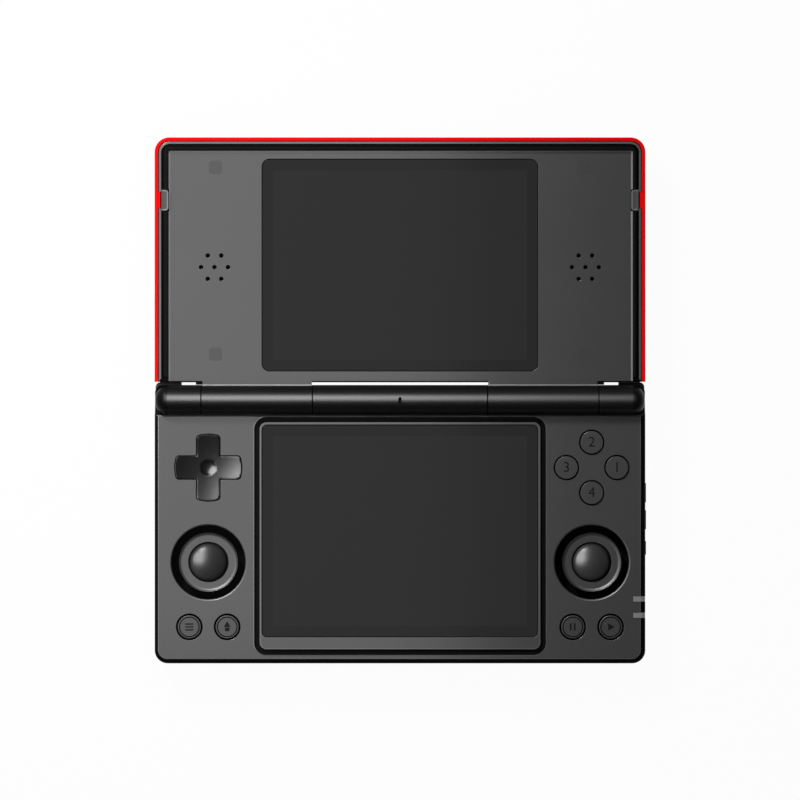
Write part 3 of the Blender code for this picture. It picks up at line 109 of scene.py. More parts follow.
# Tray: half sizes and corner of its feet and socket, with (growth, place) steps of their cutters,
# and screw sinks as (radius, height)
FOOT = (55.0, 2.5, 2.45)
FOOT_POCKET = ((0.3, -1.0), (0.3, 1.25))
FOOT_PLACES = (FRONT + 8.0, REAR_WALL - 6.4)
SCREW_X = 75.2
SCREW_PLACES = (FRONT + 4.7, -10.0)
SCREW_HOLE = ((0, 4.0), (1.1, 4.0), (1.1, 1.55), (2.2, 1.55))
SCREW_SINK = ((2.2, 0.85), (2.5, 0.55), (2.5, -1.0), (0, -1.0))
NOTCH_HEIGHTS = (2.25, 9.0)
NOTCH_REAR = 6.4
SHOULDER_NOTCH_X = (71.1, SIDE + BEYOND)
SHOULDER_NOTCH_FRONT = -3.15
TRIGGER_NOTCH_X = (49.65, 64.35)
TRIGGER_NOTCH_FRONT = 2.4
USB = (4.77, 1.93, 1.88)
USB_HIGH = 4.33
USB_STEPS = ((0, -3.5), (0, -0.3), (0.1, -0.1), (0.35, 0.05), (0.35, 4.3))

# Hinge
HINGE_HIGH = 13.15
BARREL = 4.7
BARREL_BORE = 2.6
TROUGH = 4.86
CENTRE_END = 28.5
LID_END = 64.75
KNUCKLE_GAP = 0.28
KNUCKLE_EDGE = 0.08
BARREL_TIP = 79.7
BARREL_ROUND = 3.9
SHAFT_END = 75.75
SHAFT_GAP = 0.3
CENTRE_RIB = 24.0
END_RIB = 3.4
END_RIB_X = 67.65
RIB_HALF = 1.5
RIB_GAP = 0.3
RIB_HEIGHTS = (7.15, 9.5)
RIB_SLOT_HEIGHTS = (4.85, HINGE_HIGH)
TONGUE_NEAR = 1.5
TONGUE_FAR = 10.6
TONGUE_FIT = 0.3
TONGUE_HEIGHTS = (8.55, 9.9)
TONGUE_NOTCH_HEIGHTS = (8.2, 17.85)
MICROPHONE = (0.5, 1.0, 0.49)

# Lid
LID_NEAR = 6.3
SHELL_NEAR = 6.02
LID_BACK = 4.8
LID_CORNER = 4.8
LID_WALL = 1.15
LID_BACK_SKIN = 1.4
LID_ROUNDING = 2.2
LID_EDGE = 0.28
LIP_NEAR = 5.85
LIP_TOP = 11.4
LIP_FIT = 0.35
SKIRT_LOW = 8.4
SKIRT_WALL = 1.2
LUG_X = (LID_END - 0.33, 66.6)
LUG_Y = (5.07, 6.8)

# The lid's rim: the trim line, the groove inside it and the fillet to the plate as steps
RIM_SIDE = 78.65
RIM_FAR = 84.35
RIM_WIDTH = 2.9
RIM_CORNER = 3.6
RIM_TOP = 13.0
RIM_EDGE = 0.55
TRIM_WIDTH = 0.75
TRIM_STEPS = ((0, 12.72), (-0.04, 12.86), (-0.14, 12.92))
GROOVE_STEPS = ((0, 12.92), (-0.02, 12.45), (-0.3, 12.45), (-0.38, 12.75))
CROWN_STEPS = ((-0.55, 12.92), (-0.8, 12.985), (-1.05, 13.0))
PLATE_TOP = 11.8
PLATE_UNDER = 10.2
PLATE_CORNER = 0.5
PLATE_SHIFT = 0.15
PLATE_FILLET = ((-0.62, 11.8), (-0.36, 11.85), (-0.16, 11.95), (-0.04, 12.1))

# The lid's bumpers, the red tabs beside them, its plugs and its speaker holes
BUMPER_INNER = 75.45
BUMPER_OUTER = 77.85
BUMPER_NEAR = 61.775
BUMPER_FAR = 68.625
SEAT_LOW = 11.45
TAB_SEAT_X = (77.5, SIDE + BEYOND)
TAB_NEAR = 62.55
TAB_FAR = 67.85
TAB_GAP = 0.12
TAB_INNER = 78.2
TAB_TOP = 12.9
PLUG_X = 60.2
PLUG_PLACES = (("near", 15.0), ("far", 76.0))
PLUG = (2.1, 2.1, 0.9)
GRILLE_X = 60.5
GRILLE_Y = 43.4
GRILLE_RING = 4.4
GRILLE_HOLE = 0.7
GRILLE_LOW = 8.0

# Screens
GLASS_HALF_X = 44.87
GLASS_HALF_Y = 34.45
UPPER_GLASS_CORNER = 2.3
LOWER_GLASS_CORNER = 1.6
GLASS_THICK = 0.9
GLASS_FIT = 0.22
GLASS_BED = 0.15
LOWER_GLASS_Y = -42.63
UPPER_GLASS_Y = 44.075
LIT_HALF_X = 41.35
LIT_HALF_Y = 31.0
PANEL_BORDER = 1.8
LOWER_WINDOW_HEIGHTS = (OPENING_LOW, 12.5)
UPPER_WINDOW_HEIGHTS = (9.3, 11.3)

# Controls
CONTROL_X = 62.5
PAD_Y = -21.95
STICK_Y = -52.81
SMALL_Y = -73.9
SMALL_X = {"menu": -68.675, "home": -56.325, "select": 56.325, "start": 68.675}
FACE_PITCH = 8.23
FACE_RADIUS = 3.7
FACE_TOP = 13.55
SMALL_RADIUS = 3.76
SMALL_TOP = 13.25
SMALL_SINK = 0.03
SMALL_RING = ((0, -0.03), (3.0, -0.03), (3.04, -0.3), (3.34, -0.3), (3.38, 0))
NUMERAL_SIZE = 4.7
MARK_DEPTH = 0.1
HOLE_GAP = 0.46
HOLE_EDGE = 0.12
SMALL_GAP = 0.6
PAD_GAP = 0.3
PAD_SHOULDER = 13.28

# Thumb sticks, with the seat of the dome and the underside of the ring as (radius, height)
WELL_RADIUS = 12.05
WELL_EDGE = 0.65
WELL_LOW = 7.0
WELL_WALL = 1.0
WELL_WALL_HEIGHTS = (7.4, 12.2)
WELL_SIDES = 128
DISC_RADIUS = 9.6
DISC_TOP = 11.1
DOME_SEAT = ((0, 11.1), (5.6, 11.1), (5.75, 10.75), (6.35, 10.75), (6.55, 11.0), (6.75, 11.1))
LIP_START = 8.35
LIP_RADIUS = 1.4
RING_EDGE = ((9.58, 11.77), (9.6, 11.74), (9.6, 10.6), (9.45, 10.4))
RING_UNDER = ((8.2, 10.1), (3.2, 10.1), (3.2, 7.9), (1.95, 7.9), (1.95, 10.95), (0, 10.95))


# Mesh making


def arc(centre, radius, start, end, steps):
    """Points on an arc, ends included; angles in degrees."""
    turns = [radians(start + (end - start) * step / steps) for step in range(steps + 1)]
    return [(centre[0] + radius * cos(t), centre[1] + radius * sin(t)) for t in turns]


def rectangle(low, high, corner, near=None, steps=10):
    """A maker of rounded outlines, which grow or shrink by its argument."""
    near = corner if near is None else near

    def outline(grow=0):
        points = []
        for x, y, inward, radius, start in (
            (low[0] - grow, low[1] - grow, (1, 1), near, 180),
            (high[0] + grow, low[1] - grow, (-1, 1), near, 270),
            (high[0] + grow, high[1] + grow, (-1, -1), corner, 0),
            (low[0] - grow, high[1] + grow, (1, -1), corner, 90),
        ):
            r = max(radius + grow, 0.02)
            points += arc((x + inward[0] * r, y + inward[1] * r), r, start, start + 90, steps)
        return points

    return outline


def centred(x, y, half_x, half_y, corner, steps=10):
    """A maker of rounded outlines about a point."""
    return rectangle((x - half_x, y - half_y), (x + half_x, y + half_y), corner, None, steps)


def mirrored(points, side):
    """A right side's outline, or its mirror image for the left."""
    return points if side > 0 else [(-x, y) for x, y in reversed(points)]


def span(side, near, far):
    """The two ends of a stretch of X on a side, in rising order."""
    return sorted((side * near, side * far))


def both_sides(maker):
    return [maker(side) for side, _ in SIDES]


def at(x, y, z=0):
    return Matrix.Translation((x, y, z))


def add(name, data):
    """A new object in the scene."""
    obj = bpy.data.objects.new(name, data)
    bpy.context.scene.collection.objects.link(obj)
    return obj


def to_mesh(name, bm):
    mesh = bpy.data.meshes.new(name)
    bm.to_mesh(mesh)
    bm.free()
    return mesh


def merged(obj, distance):
    """An object's mesh with its modifiers applied and its double points merged."""
    graph = bpy.context.evaluated_depsgraph_get()
    bm = bmesh.new()
    bm.from_mesh(bpy.data.meshes.new_from_object(obj.evaluated_get(graph)))
    bmesh.ops.remove_doubles(bm, verts=bm.verts, dist=distance)
    return bm


def shape(name, bm, turn=None):
    """An object from a mesh in millimetres, moved by a matrix if one is given."""
    bmesh.ops.recalc_face_normals(bm, faces=bm.faces)
    mesh = to_mesh(name, bm)
    if turn is not None:
        mesh.transform(turn)
    mesh.transform(Matrix.Scale(MM, 4))
    return add(name, mesh)


def weave(name, rows, closed, turn):
    """A skin between neighbouring rows of points, in which a row of one point is a tip."""
    bm = bmesh.new()
    rows = [[bm.verts.new(point) for point in row] for row in rows]
    for first, second in zip(rows, rows[1:] + rows[:closed]):
        for k in range(max(len(first), len(second))):
            around = ((first, k), (second, k), (second, k + 1), (first, k + 1))
            corners = dict.fromkeys(row[step % len(row)] for row, step in around)
            if len(corners) > 2:
                bm.faces.new(list(corners))
    for end in (rows[0], rows[-1]):
        if len(end) > 1 and not closed:
            bm.faces.new(end)
    return shape(name, bm, turn)


def skin(name, rings, closed=False, turn=None):
    """A skin through (points, height) rings of equal point count."""
    return weave(name, [[(x, y, z) for x, y in points] for points, z in rings], closed, turn)


def grown(outline, steps):
    """Rings of an outline that grows by (growth, height) steps."""
    return [(outline(grow), z) for grow, z in steps]


def loft(name, outline, steps, turn=None):
    """A closed skin round an outline that grows by (growth, height) steps."""
    return skin(name, grown(outline, steps), turn=turn)


def lathe(name, profile, sides, turn=None, closed=False):
    """A profile of (radius, height) points turned about Z."""
    rows = []
    for radius, height in profile:
        turns = [2 * pi * step / sides for step in range(sides if radius > 1e-6 else 1)]
        rows.append([(radius * cos(t), radius * sin(t), height) for t in turns])
    return weave(name, rows, closed, turn)


def rod(name, radius, low, high, sides, turn):
    """A plain round rod, for hidden cuts and joins."""
    return lathe(name, [(0, high), (radius, high), (radius, low), (0, low)], sides, turn)


def block(name, low, high):
    """A plain box, for hidden cuts and joins."""
    bm = bmesh.new()
    bmesh.ops.create_cube(bm, size=1.0)
    low, high = Vector(low), Vector(high)
    bmesh.ops.scale(bm, vec=high - low, verts=bm.verts)
    bmesh.ops.translate(bm, vec=(low + high) / 2, verts=bm.verts)
    return shape(name, bm)


def side_block(name, side, x, y, z):
    """A box on one side, from stretches of X, taken outwards, Y and Z."""
    low_x, high_x = span(side, *x)
    return block(name, (low_x, y[0], z[0]), (high_x, y[1], z[1]))


def side_blocks(name, x, y, z):
    return both_sides(lambda side: side_block(name, side, x, y, z))


def quarter_round(radius, count):
    """(inset, rise) pairs from the foot of a rounded edge to its top."""
    turns = [pi / 2 * step / count for step in range(count + 1)]
    return [(radius * (1 - cos(t)), radius * sin(t)) for t in turns]


def rounded(low, high, top, bottom=0, count=4):
    """Steps of a block between two heights with its top and bottom edges rounded."""
    foot = [(0, low)]
    if bottom:
        pairs = reversed(quarter_round(bottom, count))
        foot = [(-inset, low + bottom - rise) for inset, rise in pairs]
    return foot + [(-inset, high - top + rise) for inset, rise in quarter_round(top, count)]


def flare_steps(face, flare):
    """Steps of a cutter that leaves a rounded edge where it meets a face."""
    steps = []
    for angle in (0, 20, 40, 60, 80):
        turn = radians(angle)
        steps.append((flare * (1 - cos(turn)), face - flare + flare * sin(turn)))
    steps.append((1.3 * flare, face + 0.07 * flare))
    steps.append((1.3 * flare, face + 1.0))
    return steps


def flared(low, face, flare, gap=0):
    """Steps of a cutter from a depth up through a face, with a rounded edge there."""
    return [(gap, low)] + [(gap + grow, z) for grow, z in flare_steps(face, flare)]


def flared_hole(name, centre, radius, low, face, flare, sides=64):
    """A round cutter from a depth up through a face, with a rounded edge there."""
    upward = flared(low, face, flare, radius)
    return lathe(name, [(0, face + 1.0), *reversed(upward), (0, low)], sides, at(*centre))


def combine(obj, others, operation):
    """Cuts other shapes from an object, or joins them to it."""
    bm = bmesh.new()
    for other in others:
        bm.from_mesh(other.data)
        bpy.data.objects.remove(other)
    tool = add("tool", to_mesh("tool", bm))
    step = obj.modifiers.new("combine", "BOOLEAN")
    step.operation = operation
    step.solver = "EXACT"
    step.object = tool
    result = to_mesh(obj.name, merged(obj, 1e-6))
    obj.modifiers.clear()
    obj.data = result
    bpy.data.objects.remove(tool)


def cut(obj, *tools):
    combine(obj, tools, "DIFFERENCE")


def join(obj, *tools):
    combine(obj, tools, "UNION")


def smooth(obj, angle):
    """Soft shading across rounded edges, crisp across the rest."""
    obj.data.shade_smooth()
    obj.data.set_sharp_from_angle(angle=radians(angle))
    even = obj.modifiers.new("even shading", "WEIGHTED_NORMAL")
    even.keep_sharp = True


def paint(obj, finish):
    """Gives the faces a finish, or what a function picks by a face's middle and normal."""
    slots = {}
    obj.data.materials.clear()
    for face in obj.data.polygons:
        chosen = finish(face.center / MM, face.normal) if callable(finish) else finish
        if chosen.name not in slots:
            slots[chosen.name] = len(slots)
            obj.data.materials.append(chosen)
        face.material_index = slots[chosen.name]


def fit(obj, finish, body, node, angle=32):
    """Finishes a piece and hangs it on its body in the place of a node."""
    paint(obj, finish)
    smooth(obj, angle)
    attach(obj, body)
    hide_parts(node)
    return obj


# Finishes


def operator(operation, swapped=False):
    """A Socket method that adds a Math node."""

    def apply(self, other=0.0):
        inputs = {0: other, 1: self} if swapped else {0: self, 1: other}
        return self.finish.node("Math", {"operation": operation}, inputs)

    return apply


class Socket:
    """A shader value that takes part in Python expressions; each operator adds a Math node."""

    def __init__(self, finish, link):
        self.finish = finish
        self.link = link

    __add__ = __radd__ = operator("ADD")
    __sub__ = operator("SUBTRACT")
    __rsub__ = operator("SUBTRACT", swapped=True)
    __mul__ = __rmul__ = operator("MULTIPLY")
    __lt__ = operator("LESS_THAN")
    __abs__ = operator("ABSOLUTE")


class Finish:
    """The node tree of a material or of the world, built node by node."""

    def __init__(self, owner):
        self.owner = owner
        owner.use_nodes = True
        self.nodes = owner.node_tree.nodes
        self.links = owner.node_tree.links

    def node(self, kind, settings=None, inputs=None, output=0):
        """A node of a type, with its settings first and then its sockets' values or links."""
        made = self.nodes.new("ShaderNode" + kind)
        for key, value in (settings or {}).items():
            setattr(made, key, value)
        for key, value in (inputs or {}).items():
            self.feed(made, key, value)
        return Socket(self, made.outputs[output])

    def feed(self, node, key, value):
        if isinstance(value, Socket):
            self.links.new(value.link, node.inputs[key])
        else:
            node.inputs[key].default_value = value

    def shader(self, **values):
        """Sets or links sockets of the Principled shader; underscores stand for spaces."""
        principled = self.nodes["Principled BSDF"]
        for key, value in values.items():
            self.feed(principled, key.replace("_", " "), value)
        return self.owner

    def place(self, stretch=(1.0, 1.0, 1.0)):
        here = self.node("TexCoord", output="Object")
        return self.node("VectorMath", {"operation": "MULTIPLY"}, {0: here, 1: stretch})

    def axis(self, coordinates, name):
        """One axis of the object's or the world's own coordinates."""
        here = self.node("TexCoord", output=coordinates)
        return self.node("SeparateXYZ", None, {0: here}, output=name)

    def noise(self, size, detail=2.0, stretch=(1.0, 1.0, 1.0)):
        """Cloudy variation whose spots are about the given size in millimetres."""
        inputs = {"Vector": self.place(stretch), "Scale": 1 / (size * MM), "Detail": detail}
        return self.node("TexNoise", None, inputs)

    def blend(self, factor, first, second):
        """A colour between two."""
        inputs = {0: factor, 6: (*first, 1.0), 7: (*second, 1.0)}
        return self.node("Mix", {"data_type": "RGBA"}, inputs, output=2)

    def relief(self, height, depth):
        """A normal from a height of 0 to 1 and its depth in millimetres."""
        return self.node("Bump", None, {"Distance": depth * MM, "Height": height})

    def show(self, output, lit, seen, share):
        """Mixes in a second shader by a share where the eye sees it, straight or reflected."""
        rays = self.node("LightPath").link.node.outputs
        camera, glossy, through = (
            Socket(self, rays[f"Is {kind} Ray"]) for kind in ("Camera", "Glossy", "Transmission")
        )
        factor = (camera + glossy + through) * share
        mixed = self.node("MixShader", None, {0: factor, 1: lit, 2: seen})
        self.feed(self.nodes[output], "Surface", mixed)


def new_finish(name):
    return Finish(bpy.data.materials.new(name))


def shade(colour, factor):
    return tuple(channel * factor for channel in colour)


def satin_paint(name, colour, roughness, metallic, fleck, gloss=0.5):
    """Sprayed paint: fine flecks, a slight orange-peel skin and faint handling marks."""
    coat = new_finish(name)
    flecks = coat.noise(0.3, 3.0)
    clouds = coat.noise(26.0)
    peel = coat.noise(0.45, 1.0)
    tone = flecks * 0.75 + clouds * 0.25
    return coat.shader(
        Base_Color=coat.blend(tone, shade(colour, 1 - fleck), shade(colour, 1 + fleck)),
        Metallic=metallic,
        Roughness=roughness - 0.05 + clouds * 0.06 + flecks * 0.04,
        Normal=coat.relief(peel, 0.008),
        Specular_IOR_Level=gloss,
    )


def moulded_plastic(name, colour, roughness, texture, gloss):
    """Moulded plastic with a spark-eroded skin and faint flow marks."""
    plastic = new_finish(name)
    grain = plastic.noise(0.35, 3.0)
    flow = plastic.noise(14.0, 2.0, (1.0, 0.45, 1.0))
    tone = grain * 0.5 + flow * 0.5
    return plastic.shader(
        Base_Color=plastic.blend(tone, shade(colour, 0.82), shade(colour, 1.18)),
        Roughness=roughness - 0.06 + flow * 0.08 + grain * 0.04,
        Normal=plastic.relief(grain, texture),
        Specular_IOR_Level=gloss,
    )


def barrel_lacquer(name, gloss):
    """Polished black with hairline rubbing marks along the hinge."""
    lacquer = new_finish(name)
    hairlines = lacquer.noise(0.5, 3.0, (0.04, 1.0, 1.0))
    smears = lacquer.noise(9.0)
    return lacquer.shader(
        Base_Color=lacquer.blend(smears, (0.0003, 0.0003, 0.00032), (0.0005, 0.0005, 0.00053)),
        Roughness=0.33 + smears * 0.03 + hairlines * 0.03,
        Normal=lacquer.relief(hairlines, 0.0003),
        Specular_IOR_Level=gloss,
    )


def cover_glass(name, middle_y):
    """Dark cover glass with a faint painted glow all over, its display area a shade lighter and
    glowing a little more than its printed border.
    """
    glass = new_finish(name)
    inside_x = abs(glass.axis("Object", "X")) < LIT_HALF_X * MM
    inside_y = abs(glass.axis("Object", "Y") - middle_y * MM) < LIT_HALF_Y * MM
    lit = inside_x * inside_y
    smears = glass.noise(17.0, 3.0)
    return glass.shader(
        Base_Color=glass.blend(lit, (0.004, 0.004, 0.0041), (0.005, 0.005, 0.0051)),
        Roughness=0.16 + smears * 0.08 + lit * 0.05,
        # Painted light: the whole pane glows faintly, a little more over the display area.
        Emission_Color=glass.blend(lit, (0.0185, 0.0185, 0.0187), (0.0215, 0.0215, 0.0217)),
        Emission_Strength=1.0,
        Specular_IOR_Level=0.1,
    )


def brushed_steel(name):
    """Drawn steel with fine lengthwise lines."""
    steel = new_finish(name)
    lines = steel.noise(0.2, 3.0, (0.1, 1.0, 1.0))
    stain = steel.noise(3.0)
    return steel.shader(
        Base_Color=steel.blend(stain, (0.42, 0.42, 0.43), (0.62, 0.62, 0.63)),
        Metallic=1.0,
        Roughness=0.24 + lines * 0.2,
        Normal=steel.relief(lines, 0.003),
    )


def soft_rubber(name, colour):
    """Matt rubber with a fine pebbled skin."""
    rubber = new_finish(name)
    spots = {"Vector": rubber.place(), "Scale": 1 / (0.4 * MM)}
    pebbles = rubber.node("TexVoronoi", None, spots)
    dust = rubber.noise(5.0, 4.0)
    return rubber.shader(
        Base_Color=rubber.blend(dust, shade(colour, 0.8), shade(colour, 1.3)),
        Roughness=0.68 + dust * 0.16,
        Normal=rubber.relief(pebbles, 0.02),
        Specular_IOR_Level=0.25,
    )


def circuit_board(name):
    """Green lacquer over copper tracks, with the tracks as a raised grid."""
    board = new_finish(name)
    grid = {"Vector": board.place(), "Scale": 1 / (9.0 * MM), "Mortar Size": 0.03}
    tracks = board.node("TexBrick", {"offset": 0.5}, grid, output="Fac")
    cloud = board.noise(8.0)
    tone = tracks * 0.7 + cloud * 0.3
    return board.shader(
        Base_Color=board.blend(tone, (0.006, 0.06, 0.022), (0.02, 0.16, 0.06)),
        Roughness=0.32 + cloud * 0.15,
        Normal=board.relief(tracks, 0.03),
    )


def foil_wrap(name):
    """Crinkled silver wrap of the battery and of the display panels' backs."""
    foil = new_finish(name)
    crinkle = foil.noise(6.0, 4.0)
    return foil.shader(
        Base_Color=foil.blend(crinkle, (0.3, 0.31, 0.33), (0.42, 0.43, 0.45)),
        Metallic=0.6,
        Roughness=0.3 + crinkle * 0.2,
        Normal=foil.relief(crinkle, 0.1),
    )


GREY = (0.142, 0.142, 0.143)
grey_paint = satin_paint("grey_paint", GREY, 0.34, 0.62, 0.1)
# The next five finishes are lighter copies of the grey paint, laid as painted highlights on
# edges, ledges, the tab edge, lips, fillets and ridges.
edge_painted_highlight = satin_paint("edge_painted_highlight", shade(GREY, 1.32), 0.32, 0.5, 0.06)
ledge_painted_highlight = satin_paint("ledge_painted_highlight", shade(GREY, 1.5), 0.32, 0.5, 0.06)
tab_painted_highlight = satin_paint("tab_painted_highlight", shade(GREY, 2.6), 0.34, 0.4, 0.06)
lip_painted_highlight = satin_paint("lip_painted_highlight", shade(GREY, 1.5), 0.5, 1.0, 0.06)
bright_painted_highlight = satin_paint("bright_painted_highlight", shade(GREY, 2.0), 0.32, 0.5, 0.06)
plug_grey = satin_paint("plug_grey", shade(GREY, 0.76), 0.4, 0.55, 0.14)
button_grey = satin_paint("button_grey", shade(GREY, 0.8), 0.36, 0.5, 0.08)
shell_red = satin_paint("shell_red", (0.93, 0.003, 0.003), 0.36, 0.0, 0.05, 0.05)
# Black plastic of the lid's rim and edges; painted shade where it stands for the shade on the
# deck's rounded border and in the lid rim's groove.
black_plastic_and_painted_shade = moulded_plastic("black_plastic_and_painted_shade", (0.0028, 0.0028, 0.0029), 0.45, 0.006, 0.045)
# Painted light: a lighter copy of the black for the inner part of the lid rim's crown, while the
# groove by the trim stays darker.
rim_painted_light_black = moulded_plastic("rim_painted_light_black", (0.0085, 0.0085, 0.0087), 0.45, 0.006, 0.045)
# Painted shade: a near-black laid on recesses, gaps, groove floors, steep walls and what lies
# under other parts, in place of the shade there.
painted_shade_black = moulded_plastic("painted_shade_black", (0.003, 0.003, 0.0031), 0.6, 0.01, 0.12)
tray_black = moulded_plastic("tray_black", (0.011, 0.011, 0.0115), 0.5, 0.02, 0.35)
pad_black = moulded_plastic("pad_black", (0.0025, 0.0025, 0.0026), 0.21, 0.002, 0.5)
# Painted light: the shoulder keys and the triggers are a lighter copy of the keys' black, in
# place of light that the lamps don't bring down to them.
shoulder_painted_light_black = moulded_plastic("shoulder_painted_light_black", (0.05, 0.05, 0.0505), 0.36, 0.006, 0.5)
key_black = moulded_plastic("key_black", (0.013, 0.013, 0.0135), 0.36, 0.006, 0.5)
dome_black = moulded_plastic("dome_black", (0.017, 0.017, 0.0174), 0.34, 0.003, 0.5)
mark_dark = moulded_plastic("mark_dark", (0.012, 0.012, 0.0125), 0.5, 0.006, 0.15)
bumper_grey = moulded_plastic("bumper_grey", (0.08, 0.08, 0.081), 0.4, 0.01, 0.5)
smoke_plastic = moulded_plastic("smoke_plastic", (0.3, 0.3, 0.303), 0.3, 0.004, 0.5)
barrel_black = barrel_lacquer("barrel_black", 0.14)
barrel_end_black = barrel_lacquer("barrel_end_black", 0.07)
steel = brushed_steel("steel")
black_rubber = soft_rubber("black_rubber", (0.016, 0.016, 0.0165))
grey_rubber = soft_rubber("grey_rubber", (0.14, 0.14, 0.142))
board_green = circuit_board("board_green")
battery_foil = foil_wrap("battery_foil")


# Screens


def glass_outline(middle_y):
    corner = UPPER_GLASS_CORNER if middle_y > 0 else LOWER_GLASS_CORNER
    return centred(0, middle_y, GLASS_HALF_X, GLASS_HALF_Y, corner)


def make_glass(node, body, middle_y, face):
    steps = rounded(face - GLASS_THICK, face, 0.14, 0.1, 3)
    glass = loft(node + "_pane", glass_outline(middle_y), steps)
    fit(glass, cover_glass(node + "_finish", middle_y), body, node)


def glass_pocket(middle_y, face):
    steps = flared(face - GLASS_THICK - GLASS_BED, face, HOLE_EDGE, GLASS_FIT)
    return loft("glass_pocket", glass_outline(middle_y), steps)


def panel_window(middle_y, low, high):
    """An opening behind a glass, a border's width smaller than it."""
    x = GLASS_HALF_X - PANEL_BORDER
    y = GLASS_HALF_Y - PANEL_BORDER
    return block("panel_window", (-x, middle_y - y, low), (x, middle_y + y, high))


# Base shells


def inside_corner(x, y, corner):
    """How far a point lies inside a rounded corner, from where it is past the corner's centre."""
    if x > 0 and y > 0:
        return corner - sqrt(x * x + y * y)
    return corner - max(x, y)


def stick_distance(point):
    """How far a point lies from the upright axis of the stick on its side."""
    return sqrt((abs(point.x) - CONTROL_X) ** 2 + (point.y - STICK_Y) ** 2)


def deck_finish(point, normal):
    # Painted shade: the rounded border is painted black as the shade on the deck's edge, wider on
    # the right and at the front.
    past_x = abs(point.x - BORDER_SHIFT[0]) - (SIDE - CASE_CORNER)
    past_y = DECK_FRONT + BORDER_SHIFT[1] + CASE_CORNER - point.y
    if inside_corner(past_x, past_y, CASE_CORNER) < DECK_BORDER + 0.02:
        return black_plastic_and_painted_shade
    # Painted shade: recesses, walls and hole sides are painted near-black.
    if point.z < DECK_TOP - 0.38 or normal.z < 0.3:
        return painted_shade_black
    # Painted highlight: the ledge beside the moat is a lighter copy of the grey paint.
    if DECK_TOP - 0.09 < point.z < DECK_TOP - 0.005 and normal.z > 0.97:
        return ledge_painted_highlight
    if normal.z > 0.985 or point.y > BEVEL_FRONT - 0.19:
        return grey_paint
    # Painted highlights: the flares round the wells and the other holes are lighter copies of the
    # grey paint.
    return lip_painted_highlight if stick_distance(point) < WELL_RADIUS + 0.9 else edge_painted_highlight


def deck_shell():
    """The deck's outer skin: a rounded border, moved a little as it rises, and a step up."""
    low, high = (-SIDE, DECK_FRONT), (SIDE, DECK_REAR)
    outline = rectangle(low, high, DECK_REAR_CORNER, CASE_CORNER, 14)
    move_x, move_y = BORDER_SHIFT

    def ring(inset, share, z):
        return [(x + share * move_x, y + share * move_y) for x, y in outline(-inset)], z

    rings = grown(outline, [(grow, DECK_LOW + rise) for grow, rise in DECK_FOOT])
    foot = DECK_TOP - DECK_STEP - BORDER_RISE
    for share, rise in quarter_round(1.0, 7):
        rings.append(ring(share * DECK_BORDER, share, foot + rise * BORDER_RISE))
    for inset, drop in STEP_EDGE:
        rings.append(ring(DECK_BORDER + inset, 1.0, DECK_TOP - drop))
    return skin("deck_shell", rings)


def moat():
    """The channel round the lower screen's island."""
    island = rectangle(*ISLAND, ISLAND_CORNER, steps=12)
    outer = rectangle(*MOAT, MOAT_CORNER, steps=12)
    inner_bank = [(island(-grow), z) for grow, z in reversed(ISLAND_LEDGE)]
    return skin("moat", [*grown(outer, OUTER_LEDGE), *inner_bank], closed=True)


def trough_bevel():
    """A prism along the hinge that slopes the deck's rear edge down to the trough."""
    high = DECK_TOP + 1.0
    profile = [(BEVEL_FRONT, DECK_TOP), (BEVEL_REAR, DECK_TOP - BEVEL_DROP)]
    profile += [(BEVEL_REAR, high), (BEVEL_FRONT, high)]
    along = Matrix(((0, 0, 1, 0), (1, 0, 0, 0), (0, 1, 0, 0), (0, 0, 0, 1)))
    return skin("trough_bevel", [(profile, -SIDE - 1), (profile, SIDE + 1)], turn=along)


def well_wall(side):
    place = at(side * CONTROL_X, STICK_Y)
    return rod("well_wall", WELL_RADIUS + WELL_WALL, *WELL_WALL_HEIGHTS, WELL_SIDES, place)


def barrel_rib(x, width, gap=0, heights=RIB_HEIGHTS):
    """The rib that ties a knuckle to the deck, or with a gap the slot for it."""
    half_x = width / 2 + gap
    half_y = RIB_HALF + gap
    return block("rib", (x - half_x, -half_y, heights[0]), (x + half_x, half_y, heights[1]))


def deck_openings():
    """Cutters for the holes and slots in the deck."""
    yield panel_window(LOWER_GLASS_Y, *LOWER_WINDOW_HEIGHTS)
    for x, width in ((0, CENTRE_RIB), (-END_RIB_X, END_RIB), (END_RIB_X, END_RIB)):
        yield barrel_rib(x, width, RIB_GAP, RIB_SLOT_HEIGHTS)
    rear = (TONGUE_NEAR, REAR_WALL + BEYOND)
    yield from side_blocks("tongue_notch", (CENTRE_END, LID_END), rear, TONGUE_NOTCH_HEIGHTS)
    for side, _ in SIDES:
        place = (side * CONTROL_X, STICK_Y)
        size = (WELL_RADIUS, WELL_LOW, DECK_TOP, WELL_EDGE)
        yield flared_hole("stick_well", place, *size, WELL_SIDES)
    holes = [(place, FACE_RADIUS + HOLE_GAP) for place in face_places()]
    holes += [((x, SMALL_Y), SMALL_RADIUS + SMALL_GAP) for x in SMALL_X.values()]
    for place, radius in holes:
        yield flared_hole("button_hole", place, radius, OPENING_LOW, DECK_TOP, HOLE_EDGE)
    steps = flared(OPENING_LOW, DECK_TOP, HOLE_EDGE, PAD_GAP)
    yield loft("dpad_opening", dpad_outline(), steps)
    for front, rear in KEY_SPANS:
        low = (SIDE - KEY_SLOT_DEPTH, front - HOLE_GAP, KEY_HEIGHTS[0])
        yield block("key_slot", low, (SIDE + BEYOND, rear + HOLE_GAP, KEY_HEIGHTS[1]))
    for y in LIGHT_PLACES:
        low = (LIGHT_INNER, y - LIGHT_HALF, OPENING_LOW)
        yield block("light_slot", low, (SIDE + BEYOND, y + LIGHT_HALF, ABOVE))


